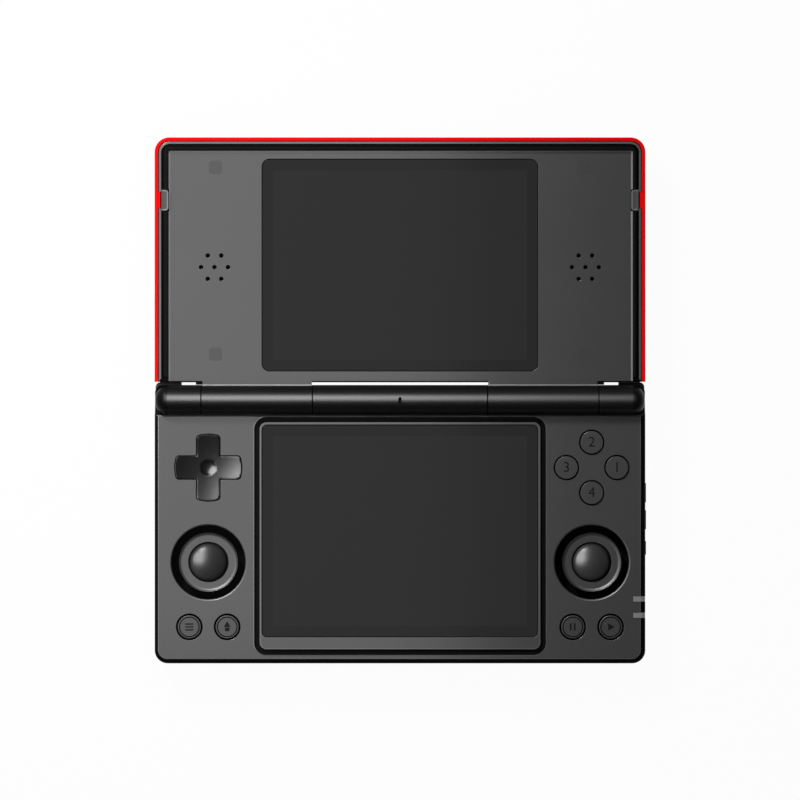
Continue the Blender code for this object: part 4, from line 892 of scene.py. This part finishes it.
def make_deck():
    deck = deck_shell()
    low = (DECK_WALL - SIDE, FRONT + DECK_WALL)
    high = (SIDE - DECK_WALL, -TROUGH - DECK_WALL)
    cavity = rectangle(low, high, SHARP, CASE_CORNER - DECK_WALL)
    cut(
        deck,
        loft("cavity", cavity, ((0, DECK_LOW - BEYOND), (0, DECK_UNDER))),
        rod("trough", TROUGH, -SIDE - BEYOND, SIDE + BEYOND, 96, barrel_turn(1)),
        moat(),
        glass_pocket(LOWER_GLASS_Y, DECK_TOP),
    )
    rear_top = block("rear_top", (-SIDE - 1, 3.5, REAR_TOP), (SIDE + 1, 7.0, ABOVE))
    cut(deck, trough_bevel(), rear_top)
    join(deck, *both_sides(well_wall))
    cut(deck, *deck_openings())
    fit(deck, deck_finish, "base", "deck_cover")


def tray_openings():
    """Cutters for the tray's screws, shoulder keys, triggers and socket."""
    for y in SCREW_PLACES:
        for side, _ in SIDES:
            place = at(side * SCREW_X, y)
            yield lathe("screw_sink", [*SCREW_HOLE, *SCREW_SINK], 32, place)
    y = (SHOULDER_NOTCH_FRONT, NOTCH_REAR)
    yield from side_blocks("shoulder_notch", SHOULDER_NOTCH_X, y, NOTCH_HEIGHTS)
    y = (TRIGGER_NOTCH_FRONT, NOTCH_REAR)
    yield from side_blocks("trigger_notch", TRIGGER_NOTCH_X, y, NOTCH_HEIGHTS)
    upright = at(0, 0, USB_HIGH) @ Matrix.Rotation(pi / 2, 4, "X")
    steps = [(grow, out - FRONT) for grow, out in USB_STEPS]
    yield loft("usb_opening", centred(0, 0, *USB), steps, upright)


def make_tray():
    outline = rectangle((-SIDE, FRONT), (SIDE, REAR_WALL), CASE_CORNER, steps=14)
    tray = loft("tray_shell", outline, rounded(TRAY_LOW, TRAY_HIGH, TRAY_EDGE, TRAY_ROUNDING, 7))
    low = (TRAY_WALL - SIDE, FRONT + TRAY_WALL)
    high = (SIDE - TRAY_WALL, REAR_WALL - TRAY_WALL)
    cavity = rectangle(low, high, CASE_CORNER - TRAY_WALL)
    tools = [loft("cavity", cavity, ((0, TRAY_FLOOR), (0, TRAY_HIGH + BEYOND)))]
    for y in FOOT_PLACES:
        tools.append(loft("foot_pocket", centred(0, y, *FOOT), FOOT_POCKET))
    cut(tray, *tools)
    cut(tray, *tray_openings())
    fit(tray, tray_black, "base", "base_cover")


# Hinge


def barrel_turn(side):
    """Turns a shape made about Z so that its top faces out along X on a side."""
    return at(0, 0, HINGE_HIGH) @ Matrix.Rotation(side * pi / 2, 4, "Y")


def knuckle_edge(height, start):
    """The softened edge at one end of a knuckle, from an angle through a quarter turn."""
    return arc((BARREL - KNUCKLE_EDGE, height), KNUCKLE_EDGE, start, start - 90, 3)


def make_barrel(node, start, end, side):
    """A hinge knuckle between two places on X, with softened ends and its bore."""
    top = knuckle_edge(end - KNUCKLE_EDGE, 90)
    low = knuckle_edge(start + KNUCKLE_EDGE, 0)
    profile = [*top, *low, (BARREL_BORE, start), (BARREL_BORE, end)]
    return lathe(node + "_knuckle", profile, 96, barrel_turn(side), closed=True)


def end_barrel(node, side):
    """An outer knuckle: a closed end with a large rounding and a blind bore."""
    inner = LID_END + KNUCKLE_GAP / 2
    blind = SHAFT_END + SHAFT_GAP
    tip = arc((BARREL - BARREL_ROUND, BARREL_TIP - BARREL_ROUND), BARREL_ROUND, 90, 0, 12)
    low = knuckle_edge(inner + KNUCKLE_EDGE, 0)
    bore = [(BARREL_BORE, inner), (BARREL_BORE, blind), (0, blind)]
    profile = [(0, BARREL_TIP), *tip, *low, *bore]
    return lathe(node + "_knuckle", profile, 96, barrel_turn(side))


def barrel_finish(point, normal):
    """The rounded ends and everything inside a knuckle are duller than its turned face."""
    off_axis = sqrt(point.y**2 + (point.z - HINGE_HIGH) ** 2)
    is_end = abs(point.x) > BARREL_TIP - BARREL_ROUND
    return barrel_end_black if is_end or off_axis < BARREL - 0.3 else barrel_black


def make_hinge():
    barrels = []
    inner = CENTRE_END + KNUCKLE_GAP / 2
    outer = LID_END - KNUCKLE_GAP / 2
    for side, name in SIDES:
        node = "hinge_end_" + name
        end = end_barrel(node, side)
        join(end, barrel_rib(side * END_RIB_X, END_RIB))
        barrels.append(fit(end, barrel_finish, "base", node))
        node = "lid_barrel_" + name
        barrel = make_barrel(node, inner, outer, side)
        x = (inner + TONGUE_FIT, outer - TONGUE_FIT)
        y = (TONGUE_NEAR, TONGUE_FAR)
        join(barrel, side_block("tongue", side, x, y, TONGUE_HEIGHTS))
        barrels.append(fit(barrel, barrel_finish, "lid", node))
    half = CENTRE_END - KNUCKLE_GAP / 2
    centre = make_barrel("hinge_centre", -half, half, 1)
    join(centre, barrel_rib(0, CENTRE_RIB))
    steps = flared(HINGE_HIGH, HINGE_HIGH + BARREL, 0.1)
    cut(centre, loft("microphone_slot", centred(0, 0, *MICROPHONE), steps))
    barrels.append(fit(centre, barrel_finish, "base", "hinge_centre"))
    return barrels


# Lid


def make_lid_back():
    outline = rectangle((-SIDE, SHELL_NEAR), (SIDE, FAR), LID_CORNER, SHARP, 14)
    steps = rounded(LID_BACK, RIM_TOP, LID_EDGE, LID_ROUNDING, 7)
    shell = loft("lid_back_shell", outline, steps)
    inner = SIDE - LID_WALL
    low, high = (-inner, LID_NEAR + LID_WALL), (inner, FAR - LID_WALL)
    cavity = rectangle(low, high, LID_CORNER - LID_WALL, SHARP, 14)
    cut(shell, loft("cavity", cavity, flared(LID_BACK + LID_BACK_SKIN, RIM_TOP, 0.15)))
    cut(shell, block("near_opening", (-inner, LID_NEAR - BEYOND, 8.1), (inner, 9.45, ABOVE)))
    wall = (TAB_INNER, SIDE - LID_WALL / 2)
    join(shell, *side_blocks("bumper_tab", wall, (TAB_NEAR, TAB_FAR), (PLATE_TOP, TAB_TOP)))
    fit(shell, shell_red, "lid", "lid_outer_cover")


def lid_face_finish(point, normal):
    # On the rim the trim is a painted highlight, the crown's inner part a lighter black as
    # painted light, and the groove and outer crown black plastic and painted shade.
    if point.z > RIM_TOP - 0.7:
        past_x = abs(point.x) - (RIM_SIDE - RIM_CORNER)
        past_y = point.y - (RIM_FAR - RIM_CORNER)
        inward = inside_corner(past_x, past_y, RIM_CORNER)
        if normal.z > 0.2 and inward < TRIM_WIDTH:
            return edge_painted_highlight
        return rim_painted_light_black if normal.z > 0.2 and inward > TRIM_WIDTH + 1.0 else black_plastic_and_painted_shade
    # Painted shade: what lies below the plate, the near lip included, and the steep walls are
    # painted black.
    if point.z < PLATE_TOP - 0.2 or normal.z < 0.25:
        return painted_shade_black if point.z < PLATE_TOP - 0.05 else black_plastic_and_painted_shade
    # Painted highlights: the plate's fillet is a lighter grey, lighter still along the sides.
    if point.z > PLATE_TOP + 0.01 and normal.z < 0.999:
        return bright_painted_highlight if abs(normal.x) > abs(normal.y) else ledge_painted_highlight
    # Painted highlight: a light line along the plate's near edge over the lid's knuckles.
    on_tab_edge = point.y < LID_NEAR - 1.0 and abs(point.x) > CENTRE_END
    return tab_painted_highlight if on_tab_edge else grey_paint


def near_bar(name, x, y, corner, steps):
    """A rounded bar along the lid's near edge, from its stretches of X and Y."""
    return loft(name, rectangle((x[0], y[0]), (x[1], y[1]), corner), steps)


def plate_tab(side):
    """The plate's near edge where it reaches over the lid's knuckle, rounded towards it."""
    x = span(side, CENTRE_END + 0.3, LID_END - 0.3)
    edge = ((0, 0.06), (-0.03, 0.012), (-0.45, 0.01), (-0.47, 0.002), (-0.8, 0.002))
    steps = [(0, PLATE_UNDER), *((grow, PLATE_TOP - drop) for grow, drop in edge)]
    return near_bar("plate_tab", x, (LID_NEAR - 1.55, LID_NEAR + 1.2), 0.2, steps)


def near_lip(x):
    """A thin lip along a stretch of the lid's near edge, which the lid face's finish paints black
    as shade.
    """
    steps = rounded(SKIRT_LOW + 0.1, LIP_TOP, 0.08, 0.08, 3)
    return near_bar("near_lip", x, (LIP_NEAR, LID_NEAR + 0.6), 0.15, steps)


def end_lip(side):
    return near_lip(span(side, LID_END - LIP_FIT, RIM_SIDE - 0.3))


def end_lug(side):
    """A small stop that closes the gap beside each outer knuckle."""
    steps = rounded(SKIRT_LOW + 0.2, LIP_TOP - 0.02, 0.15, 0.15, 3)
    return near_bar("end_lug", span(side, *LUG_X), LUG_Y, 0.15, steps)


def plug_outlines():
    """Each screw plug's node and outline."""
    for row, y in PLUG_PLACES:
        for side, name in SIDES:
            yield f"{row}_{name}_plug", centred(side * PLUG_X, y, *PLUG)


def face_openings():
    """Cutters for the lid's glass, bumpers, plugs and speaker holes."""
    yield glass_pocket(UPPER_GLASS_Y, PLATE_TOP)
    x = (BUMPER_INNER - 0.15, BUMPER_OUTER + 0.05)
    y = (BUMPER_NEAR - 0.155, BUMPER_FAR + 0.155)
    yield from side_blocks("bumper_seat", x, y, (SEAT_LOW, ABOVE))
    for _, outline in plug_outlines():
        yield loft("plug_pocket", outline, ((0, PLATE_TOP - 1.0), (0, PLATE_TOP + 1.0)))
    for side, _ in SIDES:
        middle = (side * GRILLE_X, GRILLE_Y)
        for place in (middle, *arc(middle, GRILLE_RING, 0, 300, 5)):
            size = (GRILLE_HOLE, GRILLE_LOW, PLATE_TOP, HOLE_EDGE)
            yield flared_hole("grille_hole", place, *size, 32)


def make_lid_face():
    outline = rectangle((-RIM_SIDE, LID_NEAR), (RIM_SIDE, RIM_FAR), RIM_CORNER, SHARP, 14)
    steps = [(0, SKIRT_LOW), *TRIM_STEPS]
    steps += [(grow - TRIM_WIDTH, z) for grow, z in (*GROOVE_STEPS, *CROWN_STEPS)]
    face = loft("lid_face", outline, steps)
    half = RIM_SIDE - RIM_WIDTH
    low, high = (PLATE_SHIFT - half, 0), (PLATE_SHIFT + half, RIM_FAR - RIM_WIDTH)
    plate = rectangle(low, high, PLATE_CORNER, SHARP)
    low = (SKIRT_WALL - RIM_SIDE, LID_NEAR + SKIRT_WALL)
    high = (RIM_SIDE - SKIRT_WALL, RIM_FAR - SKIRT_WALL)
    under = rectangle(low, high, RIM_CORNER - SKIRT_WALL, SHARP)
    heights = (SKIRT_LOW - BEYOND, PLATE_UNDER)
    cut(
        face,
        loft("pocket", plate, (*PLATE_FILLET, *flare_steps(RIM_TOP, RIM_EDGE))),
        loft("under", under, [(0, z) for z in heights]),
    )
    near = (LID_NEAR - BEYOND, 9.5)
    cut(face, *side_blocks("near_notch", (CENTRE_END, LID_END), near, heights))
    join(face, *both_sides(plate_tab))
    middle = CENTRE_END + LIP_FIT
    join(face, near_lip((-middle, middle)), *both_sides(end_lip))
    join(face, *both_sides(end_lug))
    cut(face, *face_openings())
    y = (TAB_NEAR - TAB_GAP, TAB_FAR + TAB_GAP)
    seats = side_blocks("tab_seat", TAB_SEAT_X, y, (SEAT_LOW, ABOVE))
    cut(face, panel_window(UPPER_GLASS_Y, *UPPER_WINDOW_HEIGHTS), *seats)
    fit(face, lid_face_finish, "lid", "lid_inner_cover")


def make_plugs():
    for node, outline in plug_outlines():
        steps = rounded(PLATE_TOP - 0.9, PLATE_TOP - 0.005, 0.03, 0, 3)
        fit(loft(node + "_pad", outline, steps), plug_grey, "lid", node)


def bumper_finish(point, normal):
    """The ridge along the bumper's three free sides is painted bright, as a highlight."""
    inward = min(abs(point.x) - BUMPER_INNER, point.y - BUMPER_NEAR, BUMPER_FAR - point.y)
    is_ridge = point.z > 12.95 and abs(point.x) < BUMPER_OUTER - 0.25 and inward < 0.52
    return bright_painted_highlight if is_ridge else bumper_grey


def bumper_outline(side):
    def outline(grow=0):
        inner, outer = BUMPER_INNER - grow, BUMPER_OUTER + grow
        near, far = BUMPER_NEAR - grow, BUMPER_FAR + grow
        r = 1.0 + grow
        points = [(outer, near), (outer, far)]
        points += arc((inner + r, far - r), r, 90, 180, 6)
        points += arc((inner + r, near + r), r, 180, 270, 6)
        return mirrored(points, side)

    return outline


def make_bumpers():
    wall = ((0, 11.65), (0, 12.85), (-0.05, 13.02), (-0.15, 13.1))
    ridge = ((-0.45, 13.12), (-0.55, 13.06), (-0.67, 13.03))
    for side, name in SIDES:
        bumper = loft(name + "_bumper_pad", bumper_outline(side), (*wall, *ridge))
        fit(bumper, bumper_finish, "lid", name + "_rim_bumper")


# Controls


def dpad_outline():
    """A maker of outlines of the four-armed pad, whose arms end in a slight bulge."""
    half_span, half_arm, corner, bulge = 10.8, 3.7, 1.0, 0.35

    def outline(grow=0):
        reach = half_span + grow
        arm = half_arm + grow
        turn_in = max(corner + grow, 0.1)
        fillet = max(0.4 - grow, 0.03)
        half = arm - turn_in
        end = reach - bulge - turn_in
        quarter = arc((end, -half), turn_in, 270, 352, 6)
        for share in (-0.6, -0.2, 0.2, 0.6):
            quarter.append((reach - bulge * share * share, share * half))
        quarter += arc((end, half), turn_in, 8, 90, 6)
        quarter += arc((arm + fillet, arm + fillet), fillet, 270, 180, 4)
        middle = Vector((-CONTROL_X, PAD_Y))
        points = []
        for step in range(4):
            turn = Matrix.Rotation(step * pi / 2, 2)
            points += [tuple(turn @ Vector(point) + middle) for point in quarter]
        return points

    return outline


def dish_pad(pad):
    """Sinks the pad's top towards its middle, on a grid of lines a millimetre apart."""
    depth, reach = 0.6, 10.95
    bm = bmesh.new()
    bm.from_mesh(pad.data)
    for normal, centre in (((1, 0, 0), -CONTROL_X), ((0, 1, 0), PAD_Y)):
        for step in range(-10, 11):
            place = Vector(normal) * (centre + step + 0.01) * MM
            geometry = [*bm.verts, *bm.edges, *bm.faces]
            bmesh.ops.bisect_plane(bm, geom=geometry, plane_co=place, plane_no=normal)
    for vert in bm.verts:
        if vert.co.z > (PAD_SHOULDER - 0.38) * MM:
            x = vert.co.x / MM + CONTROL_X
            y = vert.co.y / MM - PAD_Y
            away = min(1.0, sqrt(x * x + y * y) / reach)
            vert.co.z -= depth * MM * (1 - away * away)
    bm.to_mesh(pad.data)
    bm.free()


def make_dpad():
    flange, dimple, dimple_low = 1.25, 2.6, 12.43
    steps = [(flange, 9.5), (flange, 10.3), (0, 10.31)]
    steps += [(-inset, PAD_SHOULDER + rise) for inset, rise in quarter_round(0.12, 3)]
    pad = loft("dpad_pad", dpad_outline(), steps)
    dish_pad(pad)
    profile = [(0, ABOVE), (dimple, ABOVE)]
    for step in range(13):
        share = 1 - step / 12
        profile.append((dimple * share, dimple_low + 0.3 * share**2 + 0.13 * share**6))
    cut(pad, lathe("dpad_dimple", profile, 96, at(-CONTROL_X, PAD_Y)))
    return fit(pad, pad_black, "dpad", "dpad")


def button_profile(radius, top):
    """The outer profile of a round button down to its stem, its top left open."""
    edge, stem, flange_top, flange_low, stem_low = 0.18, 2.4, 11.1, 10.3, 9.0
    flange = radius + SMALL_GAP + 0.9
    profile = arc((radius - edge, top - edge), edge, 90, 0, 4)
    profile += [(radius, flange_top), (flange, flange_top), (flange, flange_low)]
    return profile + [(stem, flange_low), (stem, stem_low), (0, stem_low)]


def face_places():
    return arc((CONTROL_X, PAD_Y), FACE_PITCH, 0, 270, 3)


def numeral(text, centre, low, high):
    """A number as a solid cutter."""
    curve = bpy.data.curves.new("numeral", "FONT")
    curve.body = text
    curve.size = NUMERAL_SIZE
    curve.align_x = "CENTER"
    curve.align_y = "CENTER"
    curve.extrude = (high - low) / 2
    curve.resolution_u = 6
    letter = add("numeral", curve)
    bm = merged(letter, 1e-4)
    bpy.data.objects.remove(letter)
    return shape("numeral", bm, at(*centre, (low + high) / 2))


def mark(points, x, y, low, high):
    """A sign's straight-sided cutter at a place."""
    return skin("mark", [(points, low), (points, high)], turn=at(x, y))


def small_marks(kind, x, low, high):
    """A plain generic sign for each of the front buttons."""
    y = SMALL_Y

    def bar(dx, dy, half_x, half_y):
        points = centred(0, 0, half_x, half_y, 0.15, 4)()
        return mark(points, x + dx, y + dy, low, high)

    def triangle(dx, dy, radius, turn):
        return mark(arc((0, 0), radius, turn, turn + 240, 2), x + dx, y + dy, low, high)

    if kind == "menu":
        return [bar(0, dy, 1.35, 0.22) for dy in (-0.95, 0, 0.95)]
    if kind == "home":
        return [triangle(0, 0.6, 1.3, 90), bar(0, -0.8, 0.75, 0.6)]
    if kind == "select":
        return [bar(dx, 0, 0.28, 1.2) for dx in (-0.65, 0.65)]
    return [triangle(-0.1, 0, 1.4, 0)]


def finish_button(button, node, marks, top):
    """Sinks a button's marks and darkens them, paints what lies deeper under its top black as
    painted shade, and hangs it on its body.
    """
    cut(button, *marks)

    def button_finish(point, normal):
        faces_up = normal.z > 0.5
        is_ring = faces_up and point.z < top - 0.2
        # Painted shade: the ring groove and the flange seen through the gap are painted
        # near-black.
        if is_ring or point.z < DECK_TOP - 0.6:
            return painted_shade_black
        return mark_dark if faces_up and point.z < top - 0.06 else button_grey

    fit(button, button_finish, node, node)


def make_face_buttons():
    for number, place in enumerate(face_places(), 1):
        node = f"face_button_{number}"
        profile = [(0, FACE_TOP), *button_profile(FACE_RADIUS, FACE_TOP)]
        button = lathe(node + "_cap", profile, 64, at(*place))
        figure = numeral(str(number), place, FACE_TOP - MARK_DEPTH, FACE_TOP + 1.0)
        finish_button(button, node, [figure], FACE_TOP)


def make_small_buttons():
    for kind, x in SMALL_X.items():
        node = kind + "_button"
        ring = [(radius, SMALL_TOP + rise) for radius, rise in SMALL_RING]
        profile = [*ring, *button_profile(SMALL_RADIUS, SMALL_TOP)]
        button = lathe(node + "_cap", profile, 72, at(x, SMALL_Y))
        face = SMALL_TOP - SMALL_SINK
        marks = small_marks(kind, x, face - MARK_DEPTH, SMALL_TOP + 1.0)
        finish_button(button, node, marks, face)


def stick_finish(point, normal):
    """Grey on the disc, a lighter grey on its lip as a painted highlight, and black as painted
    shade in the groove, outside and below.
    """
    away = stick_distance(point)
    is_groove = away < 6.62 and point.z > 10.5
    if is_groove or point.z < DISC_TOP - 0.1 or away > DISC_RADIUS - 0.03:
        return painted_shade_black
    return lip_painted_highlight if away > LIP_START + 0.27 else grey_paint


def make_stick_caps():
    """The thumb sticks: a grey dished ring with a black dome set in it."""
    domes = []
    for side, name in SIDES:
        place = at(side * CONTROL_X, STICK_Y)
        node = name + "_stick_cap"
        lip = arc((LIP_START, DISC_TOP + LIP_RADIUS), LIP_RADIUS, -90, -32, 9)
        ring = lathe(node + "_ring", [*DOME_SEAT, *lip, *RING_EDGE, *RING_UNDER], 144, place)
        fit(ring, stick_finish, node, node, 50)
        domes.append(make_dome(node, place))
    return domes


def make_dome(node, place):
    """The black crown of a stick, a shallow cap of a sphere that turns down at its edge."""
    sphere, fillet, lean, apex, foot = 9.9, 1.85, 31.0, 13.7, 10.85
    cap = arc((0, apex - sphere), sphere, 90, 90 - lean, 18)
    inner = sphere - fillet
    turn_x = inner * sin(radians(lean))
    turn_z = apex - sphere + inner * cos(radians(lean))
    edge = arc((turn_x, turn_z), fillet, 90 - lean, 4, 9)
    profile = [(0, apex), *cap[1:], *edge[1:], (edge[-1][0], foot), (0, foot)]
    dome = lathe(node + "_dome", profile, 96, place)
    paint(dome, dome_black)
    smooth(dome, 50)
    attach(dome, node)
    return dome


def shoulder_outline(side):
    inner, outer, front, rear, corner = 71.45, 79.95, -2.0, 5.9, 1.6

    def outline(grow=0):
        points = [(inner - grow, front - grow), (outer + grow, front - grow)]
        points += arc((outer - corner, rear - corner), corner + grow, 0, 90, 8)
        points.append((inner - grow, rear + grow))
        return mirrored(points, side)

    return outline


def make_shoulders():
    low, high, edge = 2.6, 6.35, 0.5
    for side, name in SIDES:
        node = name + "_shoulder"
        key = loft(node + "_key", shoulder_outline(side), rounded(low, high, edge, edge))
        # The shoulder keys take the lighter black, painted light.
        fit(key, shoulder_painted_light_black, node, node)


def pair(name):
    return ("left_" + name, "right_" + name)


# Nodes that keep their own shape, by finish and by the width of their broken edges
KEPT_NODES = (
    (battery_foil, 0, ("lower_lcd", "upper_lcd", "battery")),
    (board_green, 0, ("main_board",)),
    (grey_rubber, 0, ("dpad_membrane", "button_membrane")),
    (steel, 0, pair("stick_stem")),
    # The stick modules and speakers, seen at the bottom of the wells and through the grille
    # holes, and the hinge shafts take the black used as painted shade.
    (painted_shade_black, 0, (*pair("stick_module"), *pair("speaker"))),
    (painted_shade_black, 0, ("hinge_shaft_left", "hinge_shaft_right")),
    (smoke_plastic, 0, ("dpad_pivot", *pair("stick_rocker"))),
    # The triggers take the same lighter black, painted light.
    (shoulder_painted_light_black, 0.45, pair("trigger")),
    (key_black, 0.2, ("volume_rocker", "power_key")),
    (smoke_plastic, 0.1, ("light_guide",)),
    (steel, 0.1, ("usb_socket",)),
    (black_rubber, 0.35, ("front_foot", "rear_foot")),
    (steel, 0.12, ("case_screw_1", "case_screw_2", "case_screw_3", "case_screw_4")),
)


def dress_nodes():
    """Finishes the carried-over nodes and lightly breaks the edges that show."""
    for finish, edge, names in KEPT_NODES:
        for name in names:
            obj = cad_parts[name]
            obj.data.materials.clear()
            obj.data.materials.append(finish)
            if edge:
                bevel = obj.modifiers.new("broken edges", "BEVEL")
                bevel.width = edge * MM
                bevel.segments = 3
                bevel.limit_method = "ANGLE"
                bevel.angle_limit = radians(40)
                smooth(obj, 40)


# Floor, light and camera


def make_floor():
    bm = bmesh.new()
    bmesh.ops.create_grid(bm, x_segments=1, y_segments=1, size=3000.0)
    floor = shape("studio_floor", bm)
    floor.location.z = -0.0002
    paper = new_finish("white_paper")
    fibres = paper.noise(1.5, 4.0)
    paper.shader(
        Base_Color=paper.blend(fibres, (0.8, 0.8, 0.8), (0.84, 0.84, 0.84)),
        Roughness=0.9,
        Specular_IOR_Level=0.1,
    )
    glow = paper.node("Emission", None, {"Color": (1, 1, 1, 1), "Strength": 1.0})
    lit = Socket(paper, paper.nodes["Principled BSDF"].outputs[0])
    paper.show("Material Output", lit, glow, share=0.965)
    floor.data.materials.append(paper.owner)


def make_world():
    """Even light from all round, and a backdrop that is white up to a little over the floor."""
    world = bpy.data.worlds.new("studio")
    bpy.context.scene.world = world
    studio = Finish(world)
    studio.nodes.remove(studio.nodes["Background"])
    fade_from, fade_to, horizon, zenith, ambient = 0.065, 0.1, 1.0, 0.06, 0.15
    height = studio.axis("Generated", "Z")
    fade = {0: height, 1: fade_from, 2: fade_to, 3: horizon, 4: zenith}
    sky = studio.node("MapRange", {"interpolation_type": "SMOOTHSTEP"}, fade)
    lit, seen = (
        studio.node("Background", None, {"Color": (1, 1, 1, 1), "Strength": strength})
        for strength in (ambient, sky)
    )
    studio.show("World Output", lit, seen, share=1.0)


def area_lamp(name, place, target, size, radiance, outline="RECTANGLE"):
    """A flat lamp of a given radiance that faces a point, its length towards +Y; in metres."""
    lamp = bpy.data.lights.new(name, "AREA")
    lamp.shape = outline
    lamp.size, lamp.size_y = size
    lamp.energy = pi * radiance * size[0] * size[1]
    light = add(name, lamp)
    light.location = place
    aim = Vector(target) - light.location
    light.rotation_euler = aim.to_track_quat("-Z", "Y").to_euler()
    light.visible_camera = False
    return light


def flat_lamp(name, low, high, height, radiance):
    """A lamp that faces straight down, between two corners on plan."""
    middle = ((low[0] + high[0]) / 2, (low[1] + high[1]) / 2)
    size = (high[0] - low[0], high[1] - low[1])
    return area_lamp(name, (*middle, height), (*middle, 0), size, radiance)


def aim_light(light, pieces, state):
    """Keeps a lamp to some pieces, or keeps it off them."""
    chosen = bpy.data.collections.new(light.name + "_pieces")
    for piece in pieces:
        chosen.objects.link(piece)
    light.light_linking.receiver_collection = chosen
    for entry in chosen.collection_objects:
        entry.light_linking.link_state = state


def make_lamps(barrels, pad, domes):
    """A softbox over the left half, a small key lamp, and lamps for the glossy pieces."""
    middle = (0, 0, DECK_TOP * MM)
    stick_row = (0, -0.05, DECK_TOP * MM)
    softbox = flat_lamp("softbox", (-0.35, -0.11), (0.022, 0.26), height=0.115, radiance=0.8)
    area_lamp("key_lamp", (-0.55, 0.9, 0.766), middle, (0.24, 0.24), radiance=54.0)
    near, far, seam, reach, high, strip, right_share = 0.01, 0.19, 0.024, 0.2, 0.265, 41.4, 0.16
    left_strip = flat_lamp("left_strip", (-reach, near), (seam, far), high, strip)
    right_strip = flat_lamp("right_strip", (seam, near), (reach, far), high, right_share * strip)
    pad_bank = area_lamp("pad_bank", (-0.7, 0.37, 1.27), middle, (1.2, 1.2), 10.0, "DISK")
    dome_bank = area_lamp("dome_bank", (-0.77, 0.26, 0.88), stick_row, (1.0, 1.0), 8.6, "DISK")
    aim_light(softbox, [*barrels, pad, *domes], "EXCLUDE")
    aim_light(left_strip, barrels, "INCLUDE")
    aim_light(right_strip, barrels, "INCLUDE")
    aim_light(pad_bank, [pad], "INCLUDE")
    aim_light(dome_bank, domes, "INCLUDE")


def make_camera():
    """A camera straight above, with a view of the given width at the deck's height; in metres."""
    height, middle_y, view_width, sensor = 2.0, 0.00008, 0.26078, 36.0
    camera = bpy.data.cameras.new("overhead_camera")
    camera.sensor_width = sensor
    camera.lens = sensor * height / view_width
    camera.clip_start = 0.05
    camera.clip_end = 20.0
    holder = add("overhead_camera", camera)
    holder.location = (0, middle_y, height + DECK_TOP * MM)
    bpy.context.scene.camera = holder


make_camera()
make_world()
make_floor()
make_tray()
make_deck()
barrels = make_hinge()
make_lid_back()
make_lid_face()
make_glass("upper_glass", "lid", UPPER_GLASS_Y, PLATE_TOP)
make_glass("lower_glass", "base", LOWER_GLASS_Y, DECK_TOP)
make_plugs()
make_bumpers()
pad = make_dpad()
make_face_buttons()
make_small_buttons()
domes = make_stick_caps()
make_shoulders()
dress_nodes()
make_lamps(barrels, pad, domes)

bpy.context.scene.view_settings.view_transform = "Standard"
